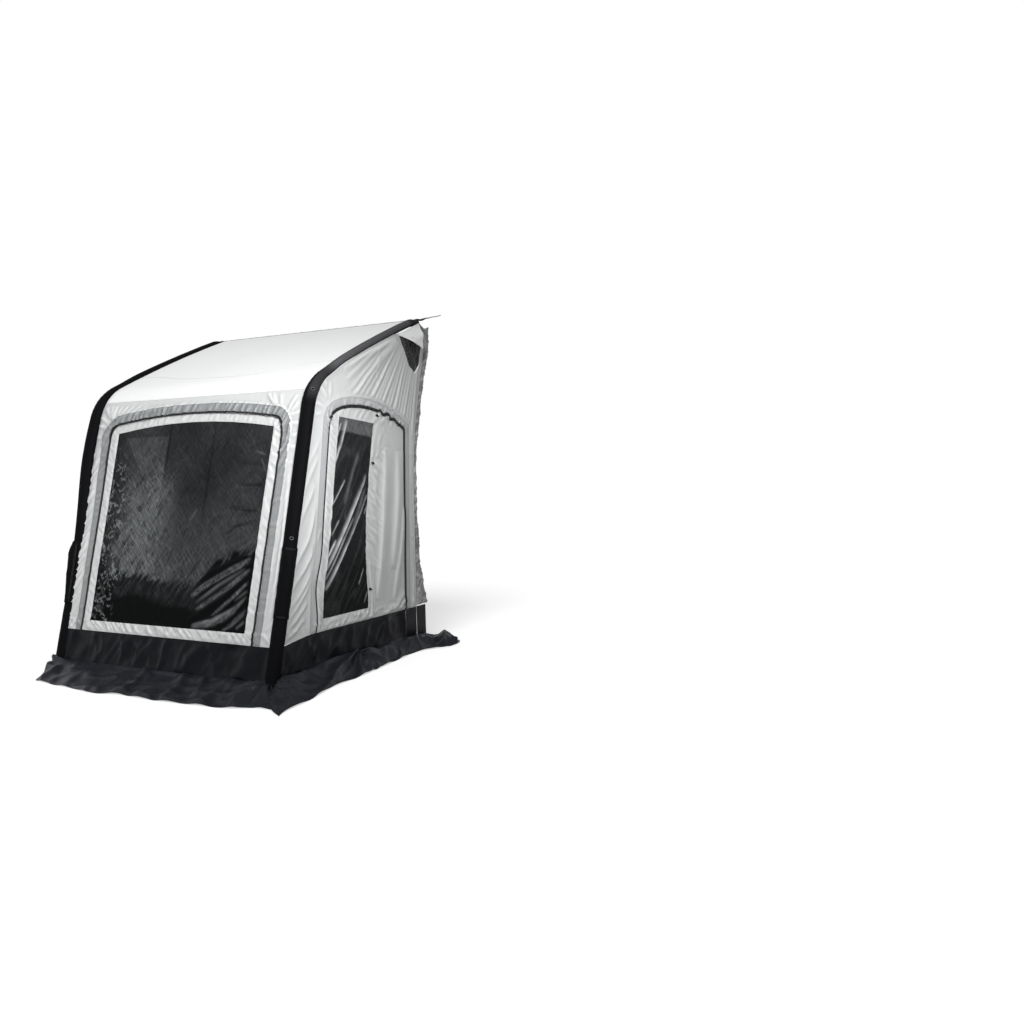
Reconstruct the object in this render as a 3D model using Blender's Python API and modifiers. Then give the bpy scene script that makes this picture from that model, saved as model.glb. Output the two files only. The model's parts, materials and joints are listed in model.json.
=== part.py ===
"""Inflatable porch awning for a caravan. Two air beams carry a curved roof, a leaning front with a
zipped window panel, two side walls with zipped doors, and a black mud skirt that lies out on the
ground. Lengths are in metres. X runs along the caravan, +Y points at it and +Z is up. The origin
is on the ground, in the middle of the awning's bounding box."""

import math

import bmesh
import bpy
import numpy
from mathutils import Matrix, Vector

# Fits
GAP = 0.0003
SEAM_GAP = 0.001
OVERRUN = 0.02

# Air beams
BEAM_SPACING = 1.96
BEAM_RADIUS = 0.04
ROOF_BEAM_RADIUS = 0.0275
BEAM_TIP_RADIUS = 0.012
TAPER_START = 3
BEAM_SIDES = 12
LEG_LEAN = math.radians(14.36)
LEG_HEIGHT = 1.745
SHOULDER_RADIUS = 0.335
SHOULDER_SLOPE = math.radians(25.5)
SHOULDER_BENDS = 6
ROOF_SLOPE = math.radians(19.5)
ROOF_LENGTH = 1.107
ROOF_BENDS = 4
SLEEVE_WALL = 0.002
BLADDER_WALL = 0.002
FOOT_RADIUS = 0.034
FOOT_LENGTH = 0.055
PLUG_LENGTH = 0.03
PLUG_WALL_GAP = 0.0006
END_THICKNESS = 0.006
BLADDER_END_ROOM = 0.01

# Cloth and film
CLOTH = 0.002
FILM = 0.0012
SEAT_ANGLE = math.radians(60.0)
ROOF_OVERHANG = 0.035
FRONT_TOP_HEIGHT = 1.855

# Front panel, its zip and its window
FRONT_SKIRT_HEIGHT = 0.272
FRONT_ZIP_FOOT_INSET = 0.1475
FRONT_ZIP_TOP_INSET = 0.1325
FRONT_ZIP_SHOULDER = 1.60
FRONT_ZIP_CORNER = 1.692
FRONT_ZIP_CROWN = 1.745
FRONT_CORNER_INSET = 0.072
FRONT_WINDOW_FOOT_BORDER = 0.075
FRONT_WINDOW_TOP_BORDER = 0.080
FRONT_WINDOW_FOOT = 0.340
FRONT_WINDOW_CORNER = 1.626
FRONT_WINDOW_CROWN = 1.682
CORNER_RISE_SHARE = 0.6
CORNER_REACH_SHARE = 0.5
CORNER_DIP_SHARE = 0.06
ARCH_STEPS = 8
CORNER_STEPS = 4
ZIP_WIDTH = 0.012
ZIP_THICKNESS = 0.0018
SURROUND_WIDTH = 0.058

# Side walls, doors and their windows. A Y is a distance behind the beams' feet
SIDE_SKIRT_HEIGHT = 0.302
DOOR_FRONT_FOOT_Y = 0.410
DOOR_FRONT_TOP_Y = 0.630
DOOR_FRONT_TOP_Z = 1.660
DOOR_REAR_FOOT_MARGIN = 0.142
DOOR_REAR_TOP_MARGIN = 0.101
DOOR_REAR_TOP_Z = 1.600
DOOR_ARCH_FRONT_PULL_Y = 0.030
DOOR_ARCH_FRONT_PULL_Z = 0.130
DOOR_ARCH_REAR_PULL_Y = 0.291
DOOR_ARCH_REAR_PULL_Z = 0.200
DOOR_ZIP_GROUND_CLEARANCE = 0.02
DOOR_WINDOW_FOOT = 0.380
DOOR_WINDOW_FRONT_FOOT_Y = 0.484
DOOR_WINDOW_FRONT_TOP_Y = 0.726
DOOR_WINDOW_FRONT_TOP_Z = 1.682
DOOR_WINDOW_REAR_FOOT_Y = 0.943
DOOR_WINDOW_REAR_TOP_Y = 1.104
DOOR_WINDOW_REAR_TOP_Z = 1.640
DOOR_WINDOW_HOLLOW = 0.038

# Padded edge that meets the caravan, with the wall's rear seam. They are set out from the beams' ends
REAR_TOP_BEHIND_RAIL = 0.0407
REAR_FOOT_BEFORE_RAIL = 0.1213
REAR_MIDDLE_BEFORE_RAIL = 0.1073
PAD_TOP_DROP = 0.0202
PAD_THICKNESS = 0.012
PAD_TOP_WIDTH = 0.140
PAD_MIDDLE_WIDTH = 0.042
PAD_FOOT_WIDTH = 0.145
PAD_NOTCH = 0.022
PAD_SWELL_SHARE = 0.3
PAD_SWELL_HEIGHT_SHARE = 0.45
PAD_FACE_LOW = 0.985
PAD_FACE_HIGH = 1.185
REAR_SKIRT_WIDTH = 0.112

# Upper rear seam: shares of its height, then of the way back to its top, and of the pad's widening
REAR_SEAM_SHARES = (
    (0.20, 0.13, 0.03), (0.35, 0.32, 0.08), (0.53, 0.66, 0.10), (0.66, 0.91, 0.21), (0.82, 1.27, 0.24),
    (0.92, 1.22, 0.52), (1.00, 1.00, 1.00),
)

# Vent and its hood, high in each side wall and set out from the beams' ends
VENT_FRONT_BEFORE_RAIL = 0.2193
VENT_LENGTH = 0.225
VENT_WIDTH = 0.265
VENT_DEPTH = 0.350
VENT_MARGIN = 0.016
VENT_SHARES = ((1.0, 0.45), (0.87, 0.82), (0.64, 1.0), (0.38, 0.85), (0.17, 0.51))
HOOD_FRONT_BEFORE_RAIL = 0.2423
HOOD_LENGTH = 0.271
HOOD_DEPTH = 0.170
HOOD_SHARES = ((0.0, 0.0), (1.0, 0.0), (0.87, 0.47), (0.65, 1.0), (0.556, 0.71), (0.33, 0.37))
HOOD_THICKNESS = 0.0025
HOOD_TILT = math.radians(12.0)
HOOD_DROP = 0.003
TIE_LENGTH = 0.088
TIE_OVERLAP = 0.012
TIE_WIDTH = 0.008

# Inflation valves, their covers and the eyelets
VALVE_HEIGHT = 0.770
VALVE_FLANGE_RADIUS = 0.015
VALVE_FLANGE_THICKNESS = 0.002
VALVE_STEM_RADIUS = 0.0085
VALVE_BORE_RADIUS = 0.003
VALVE_NECK_HEIGHT = 0.005
VALVE_STEP_SIDES = 24
CAP_WALL = 0.0025
CAP_TOP = 0.002
COVER_LOW = 0.440
COVER_HIGH = 0.862
COVER_BULGE = 0.020
COVER_PEAK_SHARE = 0.22
COVER_HALF_ANGLE = math.radians(78.0)
COVER_COLUMNS = 10
COVER_ROWS = 8
EYELET_LOW = 0.912
EYELET_RADIUS = 0.0078
EYELET_HOLE = 0.0036
EYELET_BARREL = 0.0046
EYELET_THICKNESS = 0.0014

# Zip sliders
SLIDER_WIDTH = 0.009
SLIDER_LENGTH = 0.013
SLIDER_THICKNESS = 0.004
PULLER_WIDTH = 0.005
PULLER_LENGTH = 0.034
PULLER_THICKNESS = 0.0016
SLIDER_REST = 0.03

# Keder bead along the roof's rear edge
BEAD_RADIUS = 0.0035
BEAD_LEFT_REACH = 1.165
BEAD_RIGHT_REACH = 1.195
BEAD_DROOP = 0.012

# Skirts and the flap that lies on the ground
FRONT_SEAM_HEIGHT = 0.066
CORNER_SEAM_HEIGHT = 0.052
SIDE_SEAM_HEIGHT = 0.112
SKIRT_WAVE = 0.009
FLAP_FRONT_REACH = 0.418
FLAP_SIDE_REACH = 0.380
FLAP_TAIL_LENGTH = 0.322
FLAP_FOLD = 0.034
TAIL_PILE = 0.045
FRONT_SKIRT_FOLDS = 7
SIDE_SKIRT_FOLDS = 5
FRONT_FLAP_FOLDS = 9
SIDE_FLAP_FOLDS = 8
FRONT_FLAP_COLUMNS = 54
SIDE_FLAP_COLUMNS = 44
FLAP_ROWS = 7
FLAP_DROP_POWER = 1.6
FOLD_POWER = 0.8
FOLD_LOSS_SHARE = 0.72
PILE_START_SHARE = 0.84
PILE_BLEND_SHARE = 0.1
PILE_LOW_SHARE = 0.4
CORNER_CROWDING_SHARE = 0.5
SKIRT_ROWS = 3
SKIRT_COLUMNS_PER_FOLD = 5
FRONT_CORNER_LEFT_X = 0.790
CORNER_STEP_OUT = 0.040

# Outer edge of each flap: a share of the way along, and a share of its reach
FRONT_REACH_SHARES = (
    (0.00, 0.79), (0.10, 0.87), (0.22, 0.93), (0.31, 1.00), (0.41, 0.905), (0.54, 0.933),
    (0.72, 0.885), (0.86, 0.825), (1.00, 0.830),
)
RIGHT_REACH_SHARES = (
    (0.00, 1.00), (0.115, 0.815), (0.235, 0.600), (0.36, 0.530), (0.52, 0.450), (0.65, 0.350),
    (0.78, 0.290), (0.92, 0.600), (1.00, 0.430),
)
LEFT_REACH_SHARES = (
    (0.00, 0.395), (0.15, 0.540), (0.31, 0.790), (0.47, 1.00), (0.62, 0.880), (0.78, 0.590),
    (0.92, 0.600), (1.00, 0.430),
)
SIDE_SEAM_SHARES = (
    (0.00, 0.0), (0.12, 0.45), (0.28, 1.0), (0.42, 0.95), (0.54, 0.55), (0.68, 0.90), (1.00, 0.20),
)
RIGHT_FLAP_FRONT_Y = -0.255
LEFT_FLAP_FRONT_Y = 0.026

# Pegging loops
LOOP_LENGTH = 0.062
LOOP_WIDTH = 0.034
LOOP_BAND = 0.008
LOOP_THICKNESS = 0.003
LOOP_CORNER = 0.010
LOOP_LIFT = 0.002

HALF_SPACING = BEAM_SPACING / 2
SEAT_ALONG = BEAM_RADIUS * math.cos(SEAT_ANGLE)
SEAT_ACROSS = BEAM_RADIUS * math.sin(SEAT_ANGLE) + CLOTH * math.tan(math.pi / BEAM_SIDES) + GAP
SIDE_X = HALF_SPACING + SEAT_ALONG
ZIP_SEAT = ZIP_WIDTH / 2 + GAP
SURROUND_EDGE = ZIP_SEAT + SURROUND_WIDTH
CORNER_OUT = BEAM_RADIUS / math.cos(LEG_LEAN) + SEAM_GAP
SIDES = {"left": -1, "right": 1}


def clear_scene():
    for obj in list(bpy.data.objects):
        bpy.data.objects.remove(obj, do_unlink=True)


def material(name, colour, roughness, metallic=0.0):
    made = bpy.data.materials.new(name)
    made.use_nodes = True
    shader = made.node_tree.nodes["Principled BSDF"]
    shader.inputs["Base Color"].default_value = (*colour, 1.0)
    shader.inputs["Roughness"].default_value = roughness
    shader.inputs["Metallic"].default_value = metallic
    return made


clear_scene()
PARTS = bpy.data.collections.new("caravan_awning")
CUTTERS = bpy.data.collections.new("cutters")
bpy.context.scene.collection.children.link(PARTS)
bpy.context.scene.collection.children.link(CUTTERS)

ROOF_CLOTH = material("roof_cloth", (0.86, 0.87, 0.87), 0.75)
WALL_CLOTH = material("wall_cloth", (0.58, 0.59, 0.59), 0.75)
TRIM_CLOTH = material("trim_cloth", (0.36, 0.38, 0.39), 0.75)
PAD_CLOTH = material("pad_cloth", (0.30, 0.31, 0.32), 0.8)
SLEEVE_CLOTH = material("sleeve_cloth", (0.016, 0.016, 0.018), 0.7)
SKIRT_CLOTH = material("skirt_cloth", (0.022, 0.024, 0.028), 0.6)
CLEAR_FILM = material("clear_film", (0.06, 0.065, 0.065), 0.12)
BLADDER_FILM = material("bladder_film", (0.70, 0.72, 0.74), 0.35)
BLACK_PLASTIC = material("black_plastic", (0.02, 0.02, 0.022), 0.4)
ZIP_TAPE = material("zip_tape", (0.012, 0.012, 0.014), 0.6)
DARK_METAL = material("dark_metal", (0.20, 0.20, 0.21), 0.35, 1.0)
VENT_NET = material("vent_net", (0.03, 0.03, 0.03), 0.8)

def add(name, data, finish, matrix=None, cutter=False):
    """Links a mesh or curve as a part of the awning, or as a cutter."""
    obj = bpy.data.objects.new(name, data)
    if not cutter:
        data.materials.append(finish)
    (CUTTERS if cutter else PARTS).objects.link(obj)
    obj.parent = FRAME
    obj.matrix_basis = matrix if matrix is not None else Matrix()
    if cutter:
        obj.hide_render = True
        obj.display_type = "WIRE"
    return obj


def mesh_of(obj):
    """The evaluated mesh of an object, welded, in the object's own space. The object is removed."""
    graph = bpy.context.evaluated_depsgraph_get()
    mesh = bpy.data.meshes.new_from_object(obj.evaluated_get(graph))
    bm = bmesh.new()
    bm.from_mesh(mesh)
    bmesh.ops.remove_doubles(bm, verts=bm.verts, dist=GAP / 10)
    bm.to_mesh(mesh)
    bm.free()
    bpy.data.objects.remove(obj, do_unlink=True)
    return mesh


def smooth(mesh):
    mesh.shade_smooth()
    mesh.set_sharp_from_angle(angle=math.radians(40.0))


def boolean(obj, other, operation):
    cut = obj.modifiers.new(operation.lower(), "BOOLEAN")
    cut.operation = operation
    cut.object = other


def solidify(obj, thickness):
    """Gives an open sheet its thickness, behind its face."""
    shell = obj.modifiers.new("thickness", "SOLIDIFY")
    shell.thickness = thickness
    shell.offset = -1.0
    shell.use_even_offset = True


def blend(share):
    """Smooth step from 0 to 1."""
    share = min(max(share, 0.0), 1.0)
    return share * share * (3 - 2 * share)


def read_shares(table, share):
    """Smooth curve through a table of (place, value) shares."""
    last = len(table) - 1
    index = next((i for i in range(last) if share <= table[i + 1][0]), last - 1)
    (p0, v0), (p1, v1) = table[index], table[index + 1]
    before = table[max(index - 1, 0)]
    after = table[min(index + 2, last)]
    step = p1 - p0
    slope0 = (v1 - before[1]) / (p1 - before[0]) * step
    slope1 = (after[1] - v0) / (after[0] - p0) * step
    t = (share - p0) / step
    return (
        v0 * (1 + 2 * t) * (1 - t) ** 2
        + slope0 * t * (1 - t) ** 2
        + v1 * t * t * (3 - 2 * t)
        - slope1 * t * t * (1 - t)
    )


def bezier(start, pull_start, pull_end, end, steps):
    """Points of a cubic curve, both ends included."""
    points = []
    for i in range(steps + 1):
        t = i / steps
        weights = ((1 - t) ** 3, 3 * t * (1 - t) ** 2, 3 * t * t * (1 - t), t**3)
        corners = (start, pull_start, pull_end, end)
        points.append(sum((w * c for w, c in zip(weights, corners)), Vector((0.0, 0.0))))
    return points


def offset_path(points, distance):
    """The open path moved to its left, with mitred corners. One distance serves all its points."""
    distances = distance if isinstance(distance, list) else [distance] * len(points)
    moved = []
    for i, point in enumerate(points):
        before = (point - points[i - 1]).normalized() if i else None
        after = (points[i + 1] - point).normalized() if i < len(points) - 1 else None
        heading = ((before or after) + (after or before)).normalized()
        normal = Vector((-heading.y, heading.x))
        facing = (before or after).dot(heading)
        moved.append(point + normal * (distances[i] / facing))
    return moved


def at_height(path, index, height):
    """The path with the end at index (0 or -1) slid along its last straight run to a height."""
    end, inner = (path[0], path[1]) if index == 0 else (path[-1], path[-2])
    slid = inner + (end - inner) * ((height - inner.y) / (end.y - inner.y))
    return [slid] + path[1:] if index == 0 else path[:-1] + [slid]


# Beam line


def beam_runs():
    """Lengths of a beam's straight runs, which touch its true arcs, and the turns between them."""
    start = math.pi / 2 - LEG_LEAN
    shoulder_turn = (start - SHOULDER_SLOPE) / SHOULDER_BENDS
    roof_turn = (SHOULDER_SLOPE - ROOF_SLOPE) / ROOF_BENDS
    touch = SHOULDER_RADIUS * math.tan(shoulder_turn / 2)
    span = ROOF_LENGTH / ROOF_BENDS
    leg = LEG_HEIGHT / math.cos(LEG_LEAN) + touch
    lengths = [leg] + [2 * touch] * (SHOULDER_BENDS - 1) + [touch + span / 2]
    lengths += [span] * (ROOF_BENDS - 1) + [span / 2]
    return start, lengths, [shoulder_turn] * SHOULDER_BENDS + [roof_turn] * ROOF_BENDS


def beam_line(offset=0.0, start_cut=0.0, end_extra=0.0):
    """Corners (y, z) of the beam's line, moved out of the awning by offset."""
    slope, lengths, turns = beam_runs()
    lengths[0] -= start_cut
    lengths[-1] += end_extra
    heading = Vector((math.cos(slope), math.sin(slope)))
    points = [heading * start_cut]
    for i, length in enumerate(lengths):
        points.append(points[-1] + Vector((math.cos(slope), math.sin(slope))) * length)
        slope -= turns[i] if i < len(turns) else 0.0
    return offset_path(points, offset)


# Places at the rear, which follow the beams' ends
RAIL_Y = beam_line()[-1].x
REAR_TOP_Y = RAIL_Y + REAR_TOP_BEHIND_RAIL
REAR_FOOT_Y = RAIL_Y - REAR_FOOT_BEFORE_RAIL
REAR_MIDDLE_Y = RAIL_Y - REAR_MIDDLE_BEFORE_RAIL
DOOR_REAR_FOOT_Y = REAR_FOOT_Y - DOOR_REAR_FOOT_MARGIN
DOOR_REAR_TOP_Y = REAR_MIDDLE_Y - DOOR_REAR_TOP_MARGIN
VENT_FRONT_Y = RAIL_Y - VENT_FRONT_BEFORE_RAIL
VENT_REAR_Y = VENT_FRONT_Y + VENT_LENGTH
HOOD_FRONT_Y = RAIL_Y - HOOD_FRONT_BEFORE_RAIL
HOOD_REAR_Y = HOOD_FRONT_Y + HOOD_LENGTH
FLAP_TAIL_Y = REAR_FOOT_Y + FLAP_TAIL_LENGTH

FRAME = bpy.data.objects.new("awning", None)
FRAME.location = (0.0, (FLAP_FRONT_REACH - FLAP_TAIL_Y) / 2, 0.0)
PARTS.objects.link(FRAME)


def beam_radii(end_cut=0.0):
    """Radius at each corner of the beam's line. It narrows over the shoulder, and again to its tip."""
    narrowing = BEAM_RADIUS - ROOF_BEAM_RADIUS
    steps = SHOULDER_BENDS + 1 - TAPER_START
    radii = [BEAM_RADIUS] * TAPER_START
    radii += [BEAM_RADIUS - narrowing * i / steps for i in range(steps + 1)]
    radii += [ROOF_BEAM_RADIUS] * (ROOF_BENDS - 1)
    tip_share = end_cut / (ROOF_LENGTH / ROOF_BENDS / 2)
    return radii + [BEAM_TIP_RADIUS + (ROOF_BEAM_RADIUS - BEAM_TIP_RADIUS) * tip_share]


def seat(radius, along):
    """How far beside the beam's centre a cloth stays clear of it, with its face at a height along above."""
    step = 2 * math.pi / BEAM_SIDES
    level = along - CLOTH
    index = int(math.acos(min(level / radius, 1.0)) / step)
    high, low = (radius * math.cos(a * step) for a in (index, index + 1))
    near, far = (radius * math.sin(a * step) for a in (index, index + 1))
    return near + (far - near) * (high - level) / (high - low) + GAP / math.cos(step / 2)


def seats(alongs):
    """The seat at each corner of the beam's line, for a cloth's height at each corner."""
    radii = beam_radii()
    found = [seat(r, along) for r, along in zip(radii[:-1], alongs)]
    return found + [found[-1] - (radii[-2] - radii[-1])]


def cloth_line(lift=0.0, end_extra=0.0):
    """Line of the outer face of the front and roof cloth."""
    radii = beam_radii()
    radii[-1] = radii[-2]
    return beam_line([r * math.cos(SEAT_ANGLE) + lift for r in radii], end_extra=ROOF_OVERHANG + end_extra)


def cloth_edge(low, high):
    """Right-hand edge of the cloth between two distances up its line."""
    radii = beam_radii()
    marks = lengths_along(cloth_line(end_extra=-ROOF_OVERHANG))
    halves = [HALF_SPACING - reach for reach in seats([r * math.cos(SEAT_ANGLE) for r in radii])]
    inner = [(half, mark) for half, mark in zip(halves, marks) if low < mark < high]
    return [(interpolate(low, marks, halves), low)] + inner + [(interpolate(high, marks, halves), high)]


def wall_line(margin=0.0):
    """Line of a side wall's top edge, under the beam, run on past the beam's end."""
    reaches = seats([SEAT_ALONG] * len(beam_radii()))
    return beam_line([-(reach + margin) for reach in reaches], end_extra=2 * ROOF_OVERHANG)


def interpolate(place, marks, values):
    """Value at a place, read along straight lines between marks, and kept level past both ends."""
    return float(numpy.interp(place, marks, values))


def lengths_along(line):
    """Distance along the line at each of its corners."""
    total = [0.0]
    for a, b in zip(line, line[1:]):
        total.append(total[-1] + (b - a).length)
    return total


def point_along(line, distance):
    """The point at a distance along the line, running on past its ends."""
    marks = lengths_along(line)
    last = len(line) - 2
    index = next((i for i in range(last) if distance <= marks[i + 1]), last)
    heading = (line[index + 1] - line[index]).normalized()
    return line[index] + heading * (distance - marks[index])


def distance_at_height(line, height):
    """Distance along the line at which it reaches a height."""
    return interpolate(height, [point.y for point in line], lengths_along(line))


def leg_point(height):
    """Centre of the beam's leg at a height."""
    return Vector((height * math.tan(LEG_LEAN), height))


LEG_AXIS = Vector((0.0, math.sin(LEG_LEAN), math.cos(LEG_LEAN)))
LEG_FACE = Vector((0.0, -math.cos(LEG_LEAN), math.sin(LEG_LEAN)))


def axes_matrix(x_axis, y_axis, z_axis, origin):
    turn = Matrix((x_axis, y_axis, z_axis)).transposed().to_4x4()
    return Matrix.Translation(origin) @ turn


def front_matrix(outer, thickness):
    """Plane of the front: X along the caravan, Y up the slope, Z out. It centres a plate on its thickness."""
    origin = LEG_FACE * (outer - thickness / 2)
    return axes_matrix(Vector((1.0, 0.0, 0.0)), LEG_AXIS, LEG_FACE, origin)


def side_matrix(side, outer, thickness):
    """Plane of a side wall: X towards the caravan, Y up. It centres a plate on its thickness."""
    origin = Vector((SIDES[side] * (outer - thickness / 2), 0.0, 0.0))
    y, z, x = Vector((0.0, 1.0, 0.0)), Vector((0.0, 0.0, 1.0)), Vector((1.0, 0.0, 0.0))
    return axes_matrix(y, z, x, origin)


def up_slope(height):
    """Distance up the front's slope at a height."""
    return (height - SEAT_ALONG * math.sin(LEG_LEAN)) / math.cos(LEG_LEAN)


# Makers


def plate_curve(name, outlines, thickness):
    """Flat plate with holes: a filled 2D curve, extruded by half its thickness each way."""
    curve = bpy.data.curves.new(name, "CURVE")
    curve.dimensions = "2D"
    curve.fill_mode = "BOTH"
    curve.extrude = thickness / 2
    for outline in outlines:
        spline = curve.splines.new("POLY")
        spline.points.add(len(outline) - 1)
        for point, place in zip(spline.points, outline):
            point.co = (place[0], place[1], 0.0, 1.0)
        spline.use_cyclic_u = True
    return curve


def plate(name, outlines, thickness, matrix, finish):
    return add(name, plate_curve(name, outlines, thickness), finish, matrix)


def bent_sheet(name, outlines, line, thickness, finish):
    """Sheet cut flat, as (x, distance up the line), then bent over the beam's line."""
    flat = add(name, plate_curve(name, outlines, 0.0), finish)
    bm = bmesh.new()
    bm.from_mesh(mesh_of(flat))
    for mark in lengths_along(line)[1:-1]:
        cut = bm.verts[:] + bm.edges[:] + bm.faces[:]
        place = (0.0, mark, 0.0)
        bmesh.ops.bisect_plane(bm, geom=cut, plane_co=place, plane_no=(0.0, 1.0, 0.0), dist=GAP / 10)
    for vert in bm.verts:
        place = point_along(line, vert.co.y)
        vert.co = (vert.co.x, place.x, place.y)
    mesh = bpy.data.meshes.new(name)
    bm.normal_update()
    bm.to_mesh(mesh)
    bm.free()
    sheet = add(name, mesh, finish)
    solidify(sheet, thickness)
    return sheet


def turned(name, profile, matrix, finish, sides=VALVE_STEP_SIDES, closed=False, cutter=False):
    """Turned shape about its own Z. The profile of (radius, height) runs down its outer side."""
    mesh = bpy.data.meshes.new(name)
    edges = [(i, i + 1) for i in range(len(profile) - 1)]
    if closed:
        edges.append((len(profile) - 1, 0))
    mesh.from_pydata([(r, 0.0, z) for r, z in profile], edges, [])
    obj = add(name, mesh, finish, matrix, cutter)
    screw = obj.modifiers.new("turn", "SCREW")
    screw.steps = sides
    screw.render_steps = sides
    screw.use_merge_vertices = True
    screw.merge_threshold = GAP / 10
    screw.use_smooth_shade = True
    return obj


def tube_mesh(name, x, line, radii, caps):
    """Faceted tube along a line of (y, z) corners, with a radius at each."""
    curve = bpy.data.curves.new(name, "CURVE")
    curve.dimensions = "3D"
    curve.bevel_depth = BEAM_RADIUS
    curve.bevel_resolution = BEAM_SIDES // 2 - 2
    curve.use_fill_caps = caps
    spline = curve.splines.new("POLY")
    spline.points.add(len(line) - 1)
    for point, place, radius in zip(spline.points, line, radii):
        point.co = (x, place.x, place.y, 1.0)
        point.radius = radius / BEAM_RADIUS
    mesh = mesh_of(add(name, curve, SLEEVE_CLOTH))
    mesh.materials.clear()
    return mesh


def grid_sheet(name, columns, rows, place, finish):
    """Sheet from a grid: place gives the point at (share across, share down)."""
    bm = bmesh.new()
    bmesh.ops.create_grid(bm, x_segments=columns, y_segments=rows, size=0.5)
    for vert in bm.verts:
        vert.co = place(vert.co.x + 0.5, 0.5 - vert.co.y)
    bmesh.ops.recalc_face_normals(bm, faces=bm.faces)
    mesh = bpy.data.meshes.new(name)
    bm.to_mesh(mesh)
    bm.free()
    return add(name, mesh, finish)


# Air beams


def diagonal(side):
    """Direction that the valve and the eyelets face: outward and forward in equal parts."""
    return (LEG_FACE + Vector((SIDES[side], 0.0, 0.0))).normalized()


def facet_matrix(side, centre, axis):
    """Z out of the beam's diagonal facet at a centre (y, z), and Y up the beam."""
    face = Vector((0.0, -axis.z, axis.y))
    out = (face + Vector((SIDES[side], 0.0, 0.0))).normalized()
    origin = Vector((SIDES[side] * HALF_SPACING, centre.x, centre.y))
    origin += out * BEAM_RADIUS * math.cos(math.pi / BEAM_SIDES)
    return axes_matrix(axis.cross(out), axis, out, origin)


def eyelet_matrices(side):
    """Places of the two eyelets: on the leg, and in the middle of a facet at the shoulder."""
    line = beam_line()
    shoulder = (line[2] + line[3]) / 2
    run = (line[3] - line[2]).normalized()
    upper_axis = Vector((0.0, run.x, run.y))
    return {
        "lower": facet_matrix(side, leg_point(EYELET_LOW), LEG_AXIS),
        "upper": facet_matrix(side, shoulder, upper_axis),
    }


def hole_cutter(name, matrix, radius, depth):
    profile = [(0.0, OVERRUN), (radius, OVERRUN), (radius, -depth), (0.0, -depth)]
    return turned(name, profile, matrix, None, cutter=True)


def air_beam(side):
    x = SIDES[side] * HALF_SPACING
    valve = facet_matrix(side, leg_point(VALVE_HEIGHT), LEG_AXIS)
    line = beam_line(start_cut=FOOT_LENGTH + GAP)
    sleeve = tube_mesh("beam_sleeve_" + side, x, line, beam_radii(), False)
    cover = add("beam_sleeve_" + side, sleeve, SLEEVE_CLOTH)
    smooth(sleeve)
    solidify(cover, SLEEVE_WALL)
    hole = VALVE_STEM_RADIUS + GAP
    boolean(cover, hole_cutter("valve_hole_" + side, valve, hole, SLEEVE_WALL + GAP * 2), "DIFFERENCE")
    for level, matrix in eyelet_matrices(side).items():
        name = "eyelet_hole_" + level + "_" + side
        cutter = hole_cutter(name, matrix, EYELET_BARREL + GAP, SLEEVE_WALL + GAP)
        boolean(cover, cutter, "DIFFERENCE")

    room = PLUG_LENGTH + BLADDER_END_ROOM
    line = beam_line(start_cut=FOOT_LENGTH + room, end_extra=-room)
    inner = [radius - SLEEVE_WALL - GAP * 2 for radius in beam_radii(room)]
    bladder = add("air_bladder_" + side, tube_mesh("air_bladder_" + side, x, line, inner, True), BLADDER_FILM)
    solidify(bladder, BLADDER_WALL)
    depth = SLEEVE_WALL + BLADDER_WALL + OVERRUN / 4
    boolean(bladder, hole_cutter("bladder_hole_" + side, valve, hole, depth), "DIFFERENCE")


def beam_ends(side):
    """Foot that stands on the ground, and the plug that closes the sleeve at the rail."""
    x = SIDES[side] * HALF_SPACING
    plug = BEAM_RADIUS * math.cos(math.pi / BEAM_SIDES) - SLEEVE_WALL - PLUG_WALL_GAP
    sunk = FOOT_RADIUS * math.tan(LEG_LEAN) + OVERRUN
    profile = [
        (0.0, FOOT_LENGTH + PLUG_LENGTH), (plug, FOOT_LENGTH + PLUG_LENGTH), (plug, FOOT_LENGTH),
        (FOOT_RADIUS, FOOT_LENGTH), (FOOT_RADIUS, -sunk), (0.0, -sunk),
    ]
    turn = axes_matrix(Vector((1.0, 0.0, 0.0)), -LEG_FACE, LEG_AXIS, Vector((x, 0.0, 0.0)))
    foot = turned("beam_foot_" + side, profile, turn, BLACK_PLASTIC)
    ground = bpy.data.meshes.new("ground_cutter_" + side)
    bm = bmesh.new()
    size = 2 * (FOOT_RADIUS + sunk) + OVERRUN
    bmesh.ops.create_cube(bm, size=size)
    bm.to_mesh(ground)
    bm.free()
    block = add("ground_cutter_" + side, ground, None, Matrix.Translation((x, 0.0, -size / 2)), cutter=True)
    boolean(foot, block, "DIFFERENCE")

    end = beam_line()[-1]
    axis = Vector((0.0, math.cos(ROOF_SLOPE), math.sin(ROOF_SLOPE)))
    up = Vector((0.0, -axis.z, axis.y))
    plug = BEAM_TIP_RADIUS * math.cos(math.pi / BEAM_SIDES) - SLEEVE_WALL - PLUG_WALL_GAP
    profile = [
        (0.0, END_THICKNESS + GAP), (BEAM_TIP_RADIUS, END_THICKNESS + GAP), (BEAM_TIP_RADIUS, GAP),
        (plug, GAP), (plug, -PLUG_LENGTH), (0.0, -PLUG_LENGTH),
    ]
    turn = axes_matrix(axis.cross(up) * -1, up, axis, Vector((x, end.x, end.y)))
    turned("beam_end_" + side, profile, turn, SLEEVE_CLOTH, sides=BEAM_SIDES)


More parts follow.
